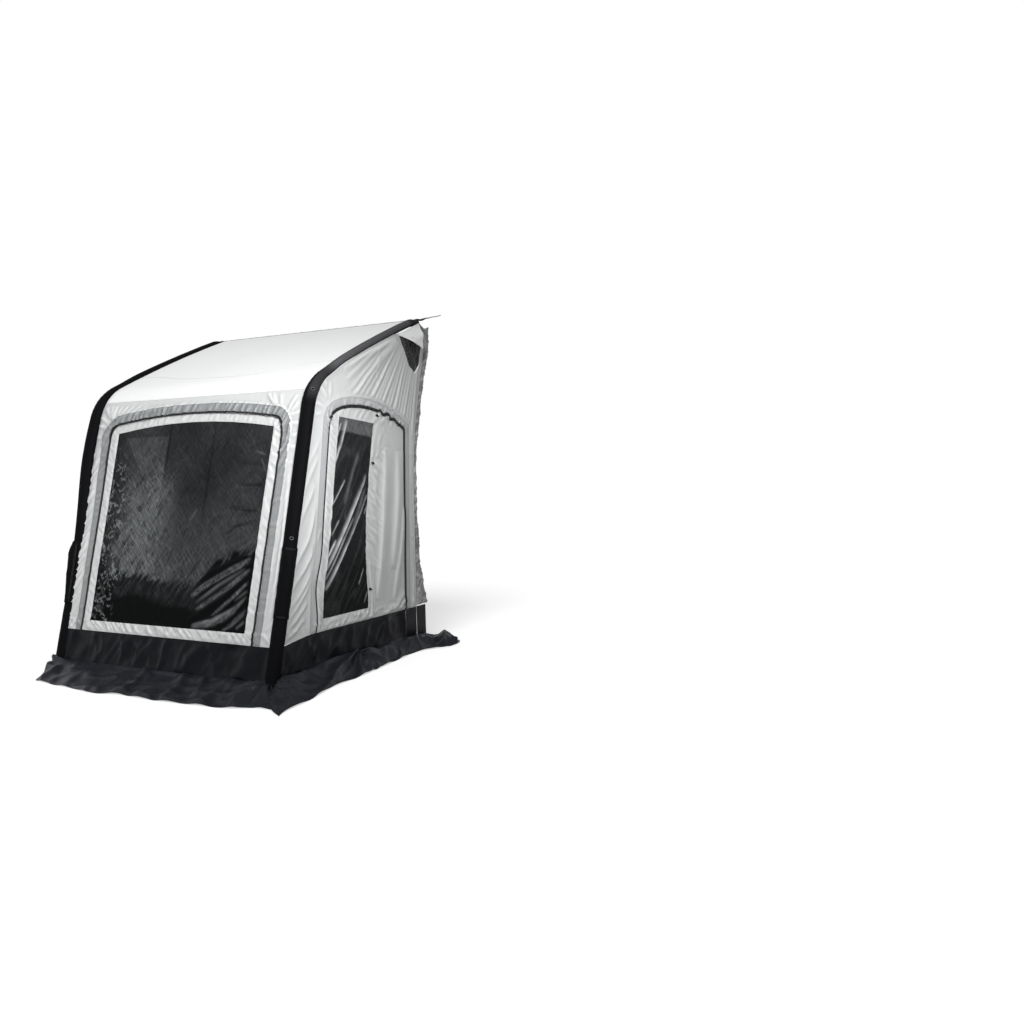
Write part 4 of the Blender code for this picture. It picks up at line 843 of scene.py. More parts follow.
def hard_finish(name, colour, rough, metallic, grain):
    """Moulded plastic or metal with a fine grain."""
    made, tree, shader = new_finish(name)
    place = solid_place(tree)
    toned = use(tree, tone_group(), {"Color": rgb(colour), "Vector": place, "Size": 0.01, "Amount": 0.25})
    tree.links.new(toned.outputs[0], shader.inputs["Base Color"])
    bumped(tree, shader, creases(tree, place, 0.002, grain).outputs["Height"])
    shader.inputs["Roughness"].default_value = rough
    shader.inputs["Metallic"].default_value = metallic
    return made


def bladder_finish(name, colour):
    """Smooth plain film."""
    made, _, shader = new_finish(name)
    shader.inputs["Base Color"].default_value = rgb(colour)
    shader.inputs["Roughness"].default_value = 0.35
    return made


# Painted light of the window film, for its reflections and the lit inside seen through it
FILM_LIT_GREY = (0.128, 0.136, 0.143, 1.0)
# Painted glints on the film's crests
GLINT_WHITE = (0.78, 0.80, 0.82, 1.0)
# Painted light of the vent net, out of the hood's shade
NET_LIT_GREY = (0.33, 0.33, 0.32, 1.0)
DARK_THREAD = (0.10, 0.10, 0.10)
PALE_THREAD = (0.75, 0.75, 0.75)

# Roughness, specular level, size and depth of the creases, and cloudiness of each cloth
CLOTH_VALUES = {
    "roof_cloth": (0.80, 0.15, 0.30, 0.0008, 0.03),
    "wall_cloth": (0.68, 0.2, 0.10, 0.0012, 0.08),
    "trim_cloth": (0.45, 0.3, 0.04, 0.0014, 0.16),
    "door_trim": (0.50, 0.3, 0.04, 0.0014, 0.12),
    "pad_cloth": (0.42, 0.3, 0.05, 0.0016, 0.25),
    "sleeve_cloth": (0.60, 0.02, 0.12, 0.0006, 0.2),
    "skirt_cloth": (0.36, 0.08, 0.16, 0.0008, 0.35),
    "flap_cloth": (0.40, 0.12, 0.16, 0.0012, 0.35),
    "zip_tape": (0.45, 0.2, 0.05, 0.0002, 0.2),
}


def cloth_settings(name, c):
    """A cloth's colour, its thread's colour and its other settings."""
    return {
        "roof_cloth": (c.roof, PALE_THREAD, {}),
        "wall_cloth": (c.wall, PALE_THREAD, {"painted_light_colour": c.wall_valley_shade}),
        "trim_cloth": (c.trim, DARK_THREAD, {"painted_light_colour": c.trim_valley_shade}),
        "door_trim": (c.door_trim, DARK_THREAD, {"painted_light_colour": c.door_valley_shade}),
        "pad_cloth": (c.pad, DARK_THREAD, {"painted_light_colour": c.pad_crest_highlight}),
        "sleeve_cloth": (c.sleeve, DARK_THREAD, {"painted_light_colour": c.band, "weave": 0.00004}),
        "skirt_cloth": (c.skirt, c.skirt, {}),
        "flap_cloth": (c.flap, c.skirt, {}),
        "zip_tape": (c.zip, DARK_THREAD, {"threads": 400.0, "weave": 0.0002}),
    }[name]


def make_finish(name):
    c = bpy.context.scene.awning_colours
    if name in CLOTH_VALUES:
        colour, thread, others = cloth_settings(name, c)
        return cloth_finish(name, colour, *CLOTH_VALUES[name], thread, **others)
    if name == "clear_film":
        return film_finish(name, c.film)
    if name == "vent_net":
        return net_finish(name, c.net)
    if name == "black_plastic":
        return hard_finish(name, c.plastic, 0.42, 0.0, 0.00004)
    if name == "dark_metal":
        return hard_finish(name, c.metal, 0.45, 0.6, 0.00002)
    if name == "bladder_film":
        return bladder_finish(name, c.bladder)
    raise ValueError("no finish is called " + name)


def finish(name):
    """The material for a slot, made the first time that it is asked for."""
    made = bpy.data.materials.get("finish_" + name)
    if made is None:
        made = make_finish(name)
        made.name = "finish_" + name
    return made


# Folds of the front, as photographed: width, height and path. Places are (x, height), read up the cloth later

FRONT_FOLDS = (
    (0.016, 0.0055, (-0.94, 1.757), (-0.85, 1.702)),
    (0.014, 0.005, (-0.94, 1.690), (-0.861, 1.672)),
    (0.012, 0.004, (-0.94, 1.607), (-0.891, 1.605)),
    (0.018, 0.007, (-0.907, 1.824), (-0.828, 1.726)),
    (0.013, 0.006, (-0.855, 1.835), (-0.815, 1.72)),
    (0.012, 0.006, (-0.816, 1.832), (-0.809, 1.726)),
    (0.012, 0.005, (-0.76, 1.825), (-0.79, 1.722)),
    (0.011, 0.005, (-0.702, 1.824), (-0.781, 1.724)),
    (0.011, 0.005, (-0.63, 1.82), (-0.75, 1.73)),
    (0.011, 0.005, (-0.558, 1.82), (-0.719, 1.734)),
    (0.011, 0.0045, (-0.487, 1.818), (-0.665, 1.74)),
    (0.011, 0.0045, (-0.417, 1.818), (-0.614, 1.748)),
    (0.011, 0.004, (-0.35, 1.82), (-0.54, 1.755)),
    (0.011, 0.004, (-0.28, 1.82), (-0.476, 1.766)),
    (0.012, 0.0035, (-0.20, 1.822), (-0.40, 1.77)),
    (0.012, 0.003, (-0.11, 1.822), (-0.31, 1.775)),
    (0.010, 0.007, (0.630, 1.842), (0.722, 1.752)),
    (0.010, 0.005, (0.672, 1.842), (0.74, 1.75)),
    (0.016, 0.004, (0.745, 1.838), (0.778, 1.735)),
    (0.010, 0.006, (0.885, 1.825), (0.825, 1.700)),
    (0.012, 0.004, (0.91, 1.78), (0.845, 1.695)),
    (0.010, 0.005, (0.94, 1.718), (0.843, 1.689)),
    (0.010, 0.005, (0.94, 1.64), (0.872, 1.645)),
    (0.010, 0.004, (0.94, 1.57), (0.878, 1.565)),
    (0.010, 0.004, (0.94, 1.49), (0.882, 1.497)),
    (0.010, 0.003, (0.94, 1.40), (0.882, 1.392)),
    (0.016, 0.004, (0.905, 1.35), (0.925, 0.95), (0.912, 0.62)),
    (0.014, 0.003, (0.93, 1.0), (0.905, 0.45)),
)
WINDOW_FOLDS = (
    (0.024, 0.017, (0.75, 0.86), (0.60, 0.79), (0.36, 0.702), (0.18, 0.57)),
    (0.020, 0.015, (0.75, 0.79), (0.446, 0.651), (0.20, 0.50)),
    (0.018, 0.014, (0.74, 0.73), (0.497, 0.546), (0.20, 0.385)),
    (0.016, 0.011, (0.73, 0.67), (0.58, 0.55), (0.40, 0.42)),
    (0.017, 0.013, (0.73, 0.63), (0.459, 0.439), (0.26, 0.36)),
    (0.013, 0.010, (0.73, 0.57), (0.62, 0.46), (0.44, 0.355)),
    (0.013, 0.011, (0.73, 0.51), (0.585, 0.404), (0.46, 0.345)),
    (0.011, 0.008, (0.73, 0.44), (0.62, 0.36)),
    (0.022, 0.008, (0.73, 0.96), (0.52, 0.86), (0.34, 0.80)),
    (0.018, 0.007, (0.73, 1.03), (0.50, 1.035), (0.38, 1.0)),
    (0.014, 0.006, (0.73, 1.10), (0.58, 1.09)),
    (0.016, 0.007, (0.73, 1.18), (0.52, 1.175), (0.36, 1.22)),
    (0.014, 0.005, (0.73, 1.27), (0.50, 1.26)),
    (0.014, 0.005, (0.73, 1.34), (0.55, 1.38)),
    (0.016, 0.006, (-0.73, 1.45), (-0.58, 1.36)),
    (0.014, 0.005, (-0.73, 1.36), (-0.60, 1.25)),
    (0.014, 0.006, (-0.73, 1.22), (-0.62, 1.16)),
    (0.014, 0.006, (-0.73, 1.05), (-0.60, 1.02)),
    (0.016, 0.008, (-0.73, 0.84), (-0.62, 0.74), (-0.56, 0.60)),
    (0.016, 0.009, (-0.73, 0.70), (-0.63, 0.60), (-0.57, 0.42)),
    (0.014, 0.007, (-0.73, 0.56), (-0.66, 0.46), (-0.60, 0.37)),
    (0.014, 0.006, (-0.70, 0.40), (-0.52, 0.42)),
    (0.018, 0.004, (-0.45, 0.46), (-0.20, 0.47), (0.05, 0.44)),
    (0.012, 0.003, (-0.30, 0.40), (-0.12, 0.37)),
)
# Painted glints on the front window's crests: width, strength and path of each white line
WINDOW_GLINT_PATHS = (
    (0.010, 0.26, (0.66, 0.735), (0.446, 0.625), (0.26, 0.505)),
    (0.012, 0.30, (0.62, 0.50), (0.44, 0.41), (0.27, 0.365)),
    (0.008, 0.24, (0.68, 0.55), (0.55, 0.46), (0.38, 0.37)),
    (0.008, 0.22, (0.70, 0.46), (0.60, 0.38), (0.52, 0.345)),
    (0.007, 0.18, (0.70, 0.60), (0.60, 0.53)),
    (0.010, 0.16, (0.69, 0.91), (0.56, 0.84)),
    (0.009, 0.16, (-0.70, 0.60), (-0.62, 0.50)),
    (0.008, 0.20, (-0.70, 0.42), (-0.60, 0.39)),
    (0.008, 0.15, (-0.69, 0.50), (-0.61, 0.46)),
    (0.008, 0.12, (0.10, 1.02), (0.16, 1.10)),
    (0.007, 0.12, (0.66, 1.42), (0.72, 1.33)),
    (0.007, 0.12, (0.60, 1.47), (0.70, 1.44)),
)
# Painted sheen on the folds of the front window's dark lower film: width, strength and path of each band
WINDOW_SHEEN_BANDS = (
    (0.020, 0.42, (0.70, 0.80), (0.52, 0.72), (0.36, 0.645), (0.20, 0.545)),
    (0.016, 0.36, (0.70, 0.735), (0.50, 0.60), (0.26, 0.46)),
    (0.014, 0.30, (0.70, 0.66), (0.56, 0.54), (0.42, 0.43)),
    (0.020, 0.46, (0.62, 0.49), (0.44, 0.40), (0.25, 0.365)),
    (0.012, 0.34, (0.70, 0.57), (0.60, 0.47), (0.50, 0.40)),
    (0.012, 0.34, (0.71, 0.49), (0.60, 0.39), (0.53, 0.35)),
    (0.010, 0.26, (0.71, 0.42), (0.64, 0.36)),
    (0.022, 0.12, (0.72, 0.93), (0.52, 0.89), (0.34, 0.83)),
    (0.024, 0.14, (0.72, 1.11), (0.46, 1.10), (0.26, 1.06)),
    (0.020, 0.12, (0.72, 1.26), (0.50, 1.25), (0.36, 1.20)),
    (0.018, 0.12, (0.72, 0.99), (0.54, 0.985), (0.32, 0.95)),
    (0.026, 0.16, (-0.69, 0.44), (-0.60, 0.42)),
)
# Dark folds that cut the front window's painted light: width, strength and path of each
WINDOW_DARKS = (
    (0.009, 0.75, (0.50, 1.25), (0.72, 1.25)),
    (0.018, 0.35, (0.46, 1.395), (0.72, 1.375)),
    (0.014, 0.85, (0.44, 1.10), (0.70, 1.085)),
    (0.010, 0.5, (0.50, 0.98), (0.70, 1.03)),
    (0.012, 0.6, (0.42, 0.93), (0.56, 1.0)),
    (0.012, 0.30, (0.52, 1.48), (0.70, 1.53)),
)

# The ragged line across the front window's film where its painted light ends, pale above it and dark below:
# x, and height at each
RAGGED_LINE = (
    (-0.73, -0.558, -0.187, 0.148, 0.22, 0.36, 0.543, 0.73),
    (0.70, 0.66, 0.625, 0.60, 0.62, 0.72, 0.80, 0.86),
)

# Folds of a side wall. Places are (y, height)

SIDE_PLEATS = (
    ((0.688, 2.262), (0.385, 2.135), (0.08, 1.99)),
    ((0.685, 2.233), (0.461, 2.088), (0.294, 1.944), (0.13, 1.79)),
    ((0.71, 2.226), (0.557, 2.065), (0.434, 1.912), (0.30, 1.75)),
    ((0.752, 2.199), (0.62, 2.0), (0.51, 1.838), (0.40, 1.66)),
    ((0.801, 2.153), (0.712, 1.976), (0.641, 1.803), (0.56, 1.62)),
    ((0.871, 2.10), (0.807, 1.95), (0.742, 1.766), (0.69, 1.60)),
    ((0.943, 2.10), (0.897, 1.976), (0.848, 1.769), (0.815, 1.55)),
)
SIDE_FOLDS = (
    (0.020, 0.006, (-0.50, 0.70), (-0.341, 0.909), (-0.24, 1.12)),
    (0.018, 0.006, (-0.525, 0.58), (-0.294, 0.824), (-0.22, 0.96)),
    (0.018, 0.006, (-0.545, 0.47), (-0.286, 0.724)),
    (0.017, 0.006, (-0.575, 0.39), (-0.319, 0.639)),
    (0.017, 0.006, (-0.595, 0.325), (-0.366, 0.512)),
    (0.016, 0.005, (-0.60, 0.285), (-0.399, 0.41)),
    (0.020, 0.004, (-0.44, 0.95), (-0.25, 1.25)),
    (0.018, 0.004, (-0.38, 1.15), (-0.20, 1.45)),
    (0.016, 0.003, (-0.33, 1.33), (-0.17, 1.55)),
    (0.016, 0.004, (-0.16, 2.02), (-0.10, 1.86)),
    (0.014, 0.004, (-0.215, 1.91), (-0.10, 1.80)),
    (0.012, 0.004, (-0.26, 1.78), (-0.12, 1.73)),
    (0.012, 0.003, (-0.28, 1.68), (-0.12, 1.70)),
    (0.012, 0.003, (-0.06, 1.90), (-0.08, 1.80)),
    (0.045, 0.010, (0.50, 1.48), (0.47, 1.25), (0.40, 0.75), (0.33, 0.42)),
    (0.050, 0.011, (0.64, 1.45), (0.62, 1.15), (0.53, 0.62)),
    (0.030, 0.007, (0.69, 1.05), (0.62, 0.72), (0.52, 0.38)),
    (0.022, 0.006, (0.42, 0.31), (0.56, 0.345), (0.67, 0.43)),
    (0.018, 0.005, (0.50, 0.305), (0.62, 0.33), (0.69, 0.38)),
)
DOOR_WINDOW_FOLDS = (
    (0.022, 0.012, (-0.19, 0.67), (0.05, 0.98), (0.30, 1.32)),
    (0.020, 0.012, (-0.19, 0.54), (0.05, 0.86), (0.29, 1.17)),
    (0.018, 0.008, (-0.12, 1.09), (0.05, 1.28)),
    (0.020, 0.009, (-0.20, 0.83), (0.0, 1.05), (0.16, 1.30), (0.28, 1.58)),
    (0.022, 0.010, (-0.05, 1.20), (0.09, 1.42), (0.17, 1.66)),
    (0.016, 0.008, (0.0, 1.48), (0.09, 1.66)),
    (0.022, 0.009, (-0.05, 0.58), (0.12, 0.79), (0.25, 1.0)),
    (0.020, 0.009, (0.0, 0.48), (0.12, 0.64), (0.23, 0.80)),
    (0.018, 0.008, (-0.16, 0.43), (0.02, 0.62), (0.20, 0.86)),
    (0.018, 0.007, (0.08, 0.42), (0.22, 0.56)),
    (0.016, 0.008, (0.16, 1.30), (0.24, 1.45), (0.34, 1.62)),
    (0.016, 0.007, (-0.17, 0.95), (0.02, 1.2)),
)
# Painted glints on the door window's crests: width, strength and path of each white line
DOOR_WINDOW_GLINT_PATHS = (
    (0.013, 1.0, (-0.185, 0.675), (0.05, 0.975), (0.285, 1.285)),
    (0.010, 0.9, (-0.19, 0.556), (0.05, 0.85), (0.288, 1.15)),
    (0.006, 0.6, (-0.185, 0.62), (0.03, 0.90), (0.12, 1.01)),
    (0.006, 0.9, (-0.10, 1.10), (0.04, 1.262)),
    (0.006, 0.8, (-0.124, 0.902), (-0.04, 1.001)),
    (0.006, 0.8, (-0.176, 0.748), (-0.076, 0.875)),
    (0.010, 0.9, (-0.06, 1.36), (0.02, 1.50), (0.09, 1.66)),
    (0.006, 0.7, (-0.03, 1.53), (0.03, 1.64)),
    (0.005, 0.5, (0.14, 0.55), (0.215, 0.66)),
    (0.005, 0.4, (0.19, 0.42), (0.23, 0.50)),
    (0.006, 0.5, (0.25, 1.02), (0.29, 1.09)),
    (0.010, 0.14, (0.02, 1.10), (0.20, 1.45)),
    (0.010, 0.12, (0.10, 0.95), (0.27, 1.20)),
)


# Heights up the door's window, and where its rear edge stands at each
DOOR_WINDOW_REAR = (
    (0.373, 0.479, 0.625, 0.817, 1.008, 1.246, 1.39, 1.62),
    (0.235, 0.234, 0.228, 0.232, 0.251, 0.297, 0.299, 0.345),
)


def door_seam(v):
    """Where the door's front seam stands at a height."""
    return -0.306 + 0.162 * (v - DOOR_FOOT)


def four_points(path):
    """A pleat's path as four points, with one put in its middle if it has three."""
    if len(path) == 4:
        return path
    return path[0], path[1], tuple((a + b) / 2 for a, b in zip(path[1], path[2])), path[2]


class Folds:
    """Height of every wall's folds over the flat cloth. Neighbours read the same heights, so they meet."""

    def __init__(self):
        self.front = FrontChart()
        self.side = {side: SideChart(side) for side in SIDES}
        up = self.front.up
        lay = lambda table: [(w, h, *[(x, float(up(z))) for x, z in path]) for w, h, *path in table]
        self.front_folds, self.window_folds = lay(FRONT_FOLDS), lay(WINDOW_FOLDS)
        self.window_streaks, self.window_sheen_bands = lay(WINDOW_GLINT_PATHS), lay(WINDOW_SHEEN_BANDS)
        self.window_darks = lay(WINDOW_DARKS)
        self.panel_edge = outline("front_panel", self.front)
        self.window_edge = outline("front_window", self.front)
        self.door_edge = outline("door_panel_right", self.side["right"])
        self.door_window_edge = outline("door_window_right", self.side["right"])
        self.wall_edge = outline("side_wall_right", self.side["right"])
        rear = sorted((v, u) for u, v in self.door_window_edge if u > 0.15)
        self.rear_edge = np.array([(u, v) for v, u in rear])
        self.foot = float(up(WALL_FOOT))
        self.pleats = self.side_pleats()

    def side_pleats(self):
        """The long pleats below the roof, with two smaller ones between each pair."""
        rng = np.random.default_rng(11)
        rows = []
        for i, path in enumerate(SIDE_PLEATS):
            rows.append((0.015, 0.021 - 0.0010 * i, *path))
            if i + 1 < len(SIDE_PLEATS):
                here, other = four_points(path), SIDE_PLEATS[i + 1]
                for share in (0.36, 0.68):
                    share += rng.uniform(-0.06, 0.06)
                    between = lambda p, q: tuple(a * (1 - share) + b * share for a, b in zip(p, q))
                    rows.append((0.011, rng.uniform(0.009, 0.015), *map(between, here, other)))
        return rows

    def front_height(self, u, v):
        up = self.front.up
        height = 1.35 * folds(u, v, self.front_folds)
        signed, run = along_path(u, v, self.panel_edge)[:2]
        outside = -signed
        high = fade(v - up(1.25), 0.35)
        # Gathers of the surround, strongest along its top
        band = fade(outside + 0.004, 0.014) * fade(0.088 - outside, 0.025)
        slant = 0.80 * u + 0.60 * (v - up(1.70))
        lean = gathers(0.83 * u - 0.56 * v + 0.25 * u, slant, 0.034, 151)
        height += band * (0.0160 * high * lean + 0.0050 * gathers(run, outside, 0.05, 153))
        # Puckers of the panel's border
        inner = -along_path(u, v, self.window_edge)[0]
        rim = fade(-outside + 0.002, 0.012) * fade(inner + 0.004, 0.02)
        pucker = gathers(run + 0.6 * outside, outside, 0.024, 155)
        height += 0.0085 * rim * pucker * (0.7 + 0.5 * soft_noise(u, v, 0.12, 5))
        low = fade(up(0.36) - v, 0.02) * fade(v - self.foot, 0.012)
        height += 0.0100 * low * gathers(u + 1.1 * (v - self.foot), v, 0.032, 157)
        # Gathers up the left strip, and long soft folds up the right one
        strip = fade(0.955 - np.abs(u), 0.01) * fade(np.abs(u) - 0.872, 0.02) * fade(up(1.55) - v, 0.12)
        height += strip * np.where(u < 0, 0.0110, 0.0030) * gathers(v - 1.25 * u, u, 0.045, 159)
        # The film's own folds, which pull at the border too
        inside = fade(0.03 - inner, 0.035)
        film = folds(u, v, self.window_folds)
        close = np.exp(-np.clip(-inner, 0.0, None) / 0.09)
        left = fade(0.35 - (u + 0.73), 0.25)
        film = 0.55 * film + (0.0006 + 0.0014 * close + 0.0010 * left) * creased(u * 1.4, v, 0.034, 17)
        height += inside * film
        # Broad sway, and a hold at the beams, the foot and the rear edge
        height += 0.0025 * soft_noise(u, v, 0.45, 23) * fade(self.front.length - v, 0.2)
        hold = fade(self.front.length - v, 0.03) * fade(v - self.foot, 0.02)
        return height * hold * fade(0.985 - np.abs(u) - 0.02 * (v > up(1.9)), 0.045)

    def window_streak(self, u, v):
        """Painted glints: where the front window's crests catch the light white, from 0 to 1."""
        return np.clip(folds(u, v, self.window_streaks) * (0.40 + 0.3 * soft_noise(u, v, 0.12, 41)), 0.0, 1.0)

    def window_film_light(self, u, v):
        """Painted light on the front window's film, for its reflections and the lit inside seen through it:
        pale above a ragged line, dark with a lighter painted sheen on the folds below it.
        """
        up = self.front.up
        edge = np.interp(u, RAGGED_LINE[0], [float(up(z)) for z in RAGGED_LINE[1]])
        wisps = gathers(0.80 * u - 0.60 * v, 0.60 * u + 0.80 * v, 0.026, 201)
        edge = edge - 0.060 * wisps + 0.030 + 0.040 * soft_noise(u, v, 0.10, 203)
        above = fade(v - edge + 0.02, 0.045)
        blue = np.exp(-(((u + 0.36) / 0.27) ** 4)) * fade(up(1.45) - v, 0.35)
        middle = fade(up(1.25) - v, 0.5) * fade(u + 0.10, 0.05)
        tone = 0.125 + 0.40 * blue + 0.12 * middle + 0.05 * soft_noise(u, v, 0.20, 205)
        # Painted light seen through the film: a faint pale block on the left, and two faint dark uprights
        block = fade(u + 0.66 - 0.78 * (up(1.60) - v), 0.02) * fade(-0.215 - u, 0.012)
        tone += 0.13 * block * fade(up(1.60) - v, 0.015) * fade(v - up(1.02), 0.25)
        for x, depth in ((-0.205, 0.06), (0.215, 0.05)):
            tone -= depth * bell(u - x, 0.009) * fade(v - up(0.70), 0.1)
        # Painted sheen on the lower folds, and dark folds that cut the painted light
        sheen_bands = folds(u, v, self.window_sheen_bands)
        rise = v - up(0.48) - 0.05 * soft_noise(u, v, 0.16, 207) + 0.12 * (u + 0.3)
        dim = 0.006 + (0.03 + 0.08 * wisps) * fade(rise, 0.05) * fade(0.35 - u, 0.2)
        grain = gathers(0.85 * v - 0.53 * u, 0.85 * u + 0.53 * v, 0.018, 209)
        sheen_bands = 0.48 * fade(sheen_bands - 0.04, 0.16) * (0.45 + 0.8 * grain)
        darks = np.clip(folds(u, v, self.window_darks), 0.0, 1.0)
        glow = (tone * above + dim * (1.0 - above)) * (1.0 - darks) + sheen_bands * (1.0 - 0.7 * above)
        # Painted light and shade of the crumpled film along the left edge
        reach = 0.16 + 0.12 * fade(up(1.6) - v, 0.3) + 0.10 * soft_noise(u, v, 0.2, 211)
        left = fade(reach - (u + 0.75), 0.12)
        speck = creased(1.3 * u + 0.8 * v, 1.5 * v - 0.8 * u, 0.030, 213)
        glow = glow * (1.0 - 0.55 * left) + left * 0.85 * fade(speck - 0.48, 0.30) * fade(up(1.58) - v, 0.3)
        return np.clip(glow, 0.0, 1.0)

    def window_crinkle(self, u, v):
        """How strongly the painted light and dark lines of the front window's crinkles show, from 0 to 1."""
        up = self.front.up
        low = fade(up(0.85) - v, 0.15) * fade(v - up(0.50), 0.10)
        left = fade(0.05 - u, 0.35) * fade(up(1.55) - v, 0.25)
        return np.clip(0.55 + 0.45 * left + 0.5 * low, 0.0, 1.0)

    def door_film_light(self, u, v):
        """Painted light on a door's window film, for its reflections: slanting dark folds under a pale band,
        and dark at its foot.
        """
        lean = u * 0.80 - v * 0.60 + 0.10 * (v - 1.0) * u
        stripe = creased(lean * 3.2, (u * 0.6 + v * 0.8) * 0.6, 0.11, 221)
        tone = 0.085 + 0.22 * fade(stripe - 0.42, 0.35) * (0.6 + 0.5 * soft_noise(u, v, 0.25, 223))
        tone *= 0.45 + 0.55 * fade(v - 0.48 - 0.25 * (u + 0.2), 0.35)
        top = fade(v - (1.600 - 0.135 * (u + 0.1)), 0.014)
        tone = tone * (1.0 - top) + top * (0.60 + 0.10 * soft_noise(u, v, 0.03, 225))
        return np.clip(tone, 0.0, 1.0)

    def door_crinkle(self, u, v):
        """How strongly the painted light and dark lines of a door window's crinkles show."""
        return np.full(np.shape(u), 0.35)

    def side_warp(self, u, v):
        """The twist in the door's front seam near its foot, and the waves in its window and zip."""
        near = bell(u - door_seam(v), 0.085)
        du = -0.030 * near * bell(v - 0.60, 0.17) * fade(v - DOOR_FOOT, 0.08)
        rear = np.interp(v, self.rear_edge[:, 1], self.rear_edge[:, 0])
        near = bell(u - rear, 0.07) * fade(v - 0.375, 0.05) * fade(1.68 - v, 0.08)
        du = du + np.clip(np.interp(v, *DOOR_WINDOW_REAR) - rear, -0.022, 0.022) * near
        arch = fade(u - 0.38, 0.08) * fade(0.71 - u, 0.05) * bell(v - 1.70, 0.10)
        return du, 0.009 * arch * np.sin(u * 75.0)

    def side_height(self, u, v):
        height = 1.7 * folds(u, v, SIDE_FOLDS) + 0.62 * folds(u, v, self.pleats)
        signed, run = along_path(u, v, self.door_edge)[:2]
        outside = -signed
        arch = fade(v - 1.50, 0.15)
        # Gathers over the door's arch, and the twisted seam at its front leg
        band = fade(outside + 0.004, 0.012) * fade(0.085 - outside, 0.025)
        height += band * (0.0150 * arch * gathers(run + 0.9 * outside, outside, 0.030, 161))
        leg = bell(u - door_seam(v), 0.035) * fade(1.1 - v, 0.5) * fade(v - 0.31, 0.06)
        height += 0.009 * leg * (0.5 + 0.5 * np.cos(v * 15.0 + 0.6))
        # Puckers of the door's border
        inner = -along_path(u, v, self.door_window_edge)[0]
        rim = fade(-outside + 0.002, 0.012) * fade(inner + 0.004, 0.02) * fade(0.16 - inner, 0.03)
        height += 0.0075 * rim * gathers(run + 0.8 * inner, inner, 0.026, 163)
        height += 0.0060 * fade(0.375 - v, 0.02) * fade(v - 0.305, 0.015) * creased(u, v * 1.5, 0.022, 31)
        inside = fade(0.03 - inner, 0.035)
        film = folds(u, v, DOOR_WINDOW_FOLDS)
        film += 0.0018 * creased((u + 0.76 * v) * 1.1, (v - 0.76 * u) * 2.6, 0.06, 37)
        film += 0.0035 * fade(u - 0.16, 0.06) * creased(u, v, 0.03, 43)
        height += inside * film
        # The strip between the door and the padded edge is full of small wrinkles
        rear = fade(u - 0.745, 0.03) * fade(1.75 - v, 0.4)
        height += 0.0080 * rear * creased(u * 2.0, v, 0.05, 47)
        height += 0.004 * soft_noise(u, v, 0.40, 29)
        held = np.abs(along_path(u, v, self.wall_edge)[0])
        return height * fade(held, 0.045)

    def door_glint(self, u, v):
        """Painted glints: where the crests of a door's window catch the light white, from 0 to 1."""
        return np.clip(folds(u, v, DOOR_WINDOW_GLINT_PATHS) * (0.80 + 0.3 * soft_noise(u, v, 0.05, 53)), 0.0, 1.0)


@functools.lru_cache(maxsize=None)
def wall_folds():
    """The folds, worked out the first time that a maker asks for them."""
    return Folds()


# Settings


def length_setting(label, description, value, least):
    return bpy.props.FloatProperty(
        name=label, description=description, default=value, min=least, unit="LENGTH",
    )


class AwningSizes(bpy.types.PropertyGroup):
    """Sizes of the cloth and film, in metres"""

    pitch: length_setting("Cloth pitch", "Cell size of the cloth mesh", 0.0085, 0.004)
    film_pitch: length_setting("Film pitch", "Cell size of the window film's mesh", 0.0072, 0.004)
    cloth: length_setting("Cloth", "Thickness of the cloth", 0.0009, 0.0002)
    film: length_setting("Film", "Thickness of the window film", 0.0006, 0.0002)
    piping: length_setting("Piping", "Radius of the piping in the seams", 0.0022, 0.0005)
    pad_swell: length_setting("Pad swell", "Most that the rear pad may swell", 0.008, 0.0)


def colour_setting(label, value):
    return bpy.props.FloatVectorProperty(
        name=label, description="Colour of the " + label.lower(), default=value, size=3,
        min=0.0, max=1.0, subtype="COLOR",
    )


class AwningColours(bpy.types.PropertyGroup):
    """Colours of every finish"""

    roof: colour_setting("Roof cloth", (0.80, 0.805, 0.805))
    wall: colour_setting("Wall cloth", (0.66, 0.67, 0.67))
    # Valley colours: darker copies of the cloths, which paint shade into their folds
    wall_valley_shade: colour_setting("Wall cloth in its valleys", (0.46, 0.47, 0.47))
    trim: colour_setting("Trim cloth", (0.33, 0.34, 0.345))
    trim_valley_shade: colour_setting("Trim cloth in its valleys", (0.17, 0.18, 0.185))
    door_trim: colour_setting("Door surround", (0.52, 0.53, 0.54))
    door_valley_shade: colour_setting("Door surround in its valleys", (0.33, 0.34, 0.35))
    pad: colour_setting("Padded edge", (0.085, 0.085, 0.09))
    # Painted highlight: the paler colour of the padded edge where its wrinkles catch the light
    pad_crest_highlight: colour_setting("Padded edge's crests", (0.42, 0.42, 0.42))
    sleeve: colour_setting("Beam sleeve", (0.0042, 0.0042, 0.0050))
    # Painted sheen on the beams' roof run
    band: colour_setting("Band along the beams' roof run", (0.080, 0.080, 0.086))
    skirt: colour_setting("Skirt cloth", (0.0034, 0.0040, 0.0058))
    flap: colour_setting("Ground flap", (0.0125, 0.0140, 0.0180))
    zip: colour_setting("Zip", (0.006, 0.006, 0.007))
    film: colour_setting("Window film", (0.0035, 0.0038, 0.0040))
    net: colour_setting("Vent net", (0.02, 0.02, 0.02))
    plastic: colour_setting("Plastic", (0.018, 0.018, 0.020))
    metal: colour_setting("Dark metal", (0.07, 0.07, 0.075))
    bladder: colour_setting("Air bladder", (0.70, 0.72, 0.74))


# Pieces


class AwningPiece:
    """What every maker shares: it raises an error if it can't finish."""

    bl_options = {"REGISTER", "UNDO"}

    def execute(self, context):
        self.make(context.scene.awning_sizes, wall_folds())
        return {"FINISHED"}


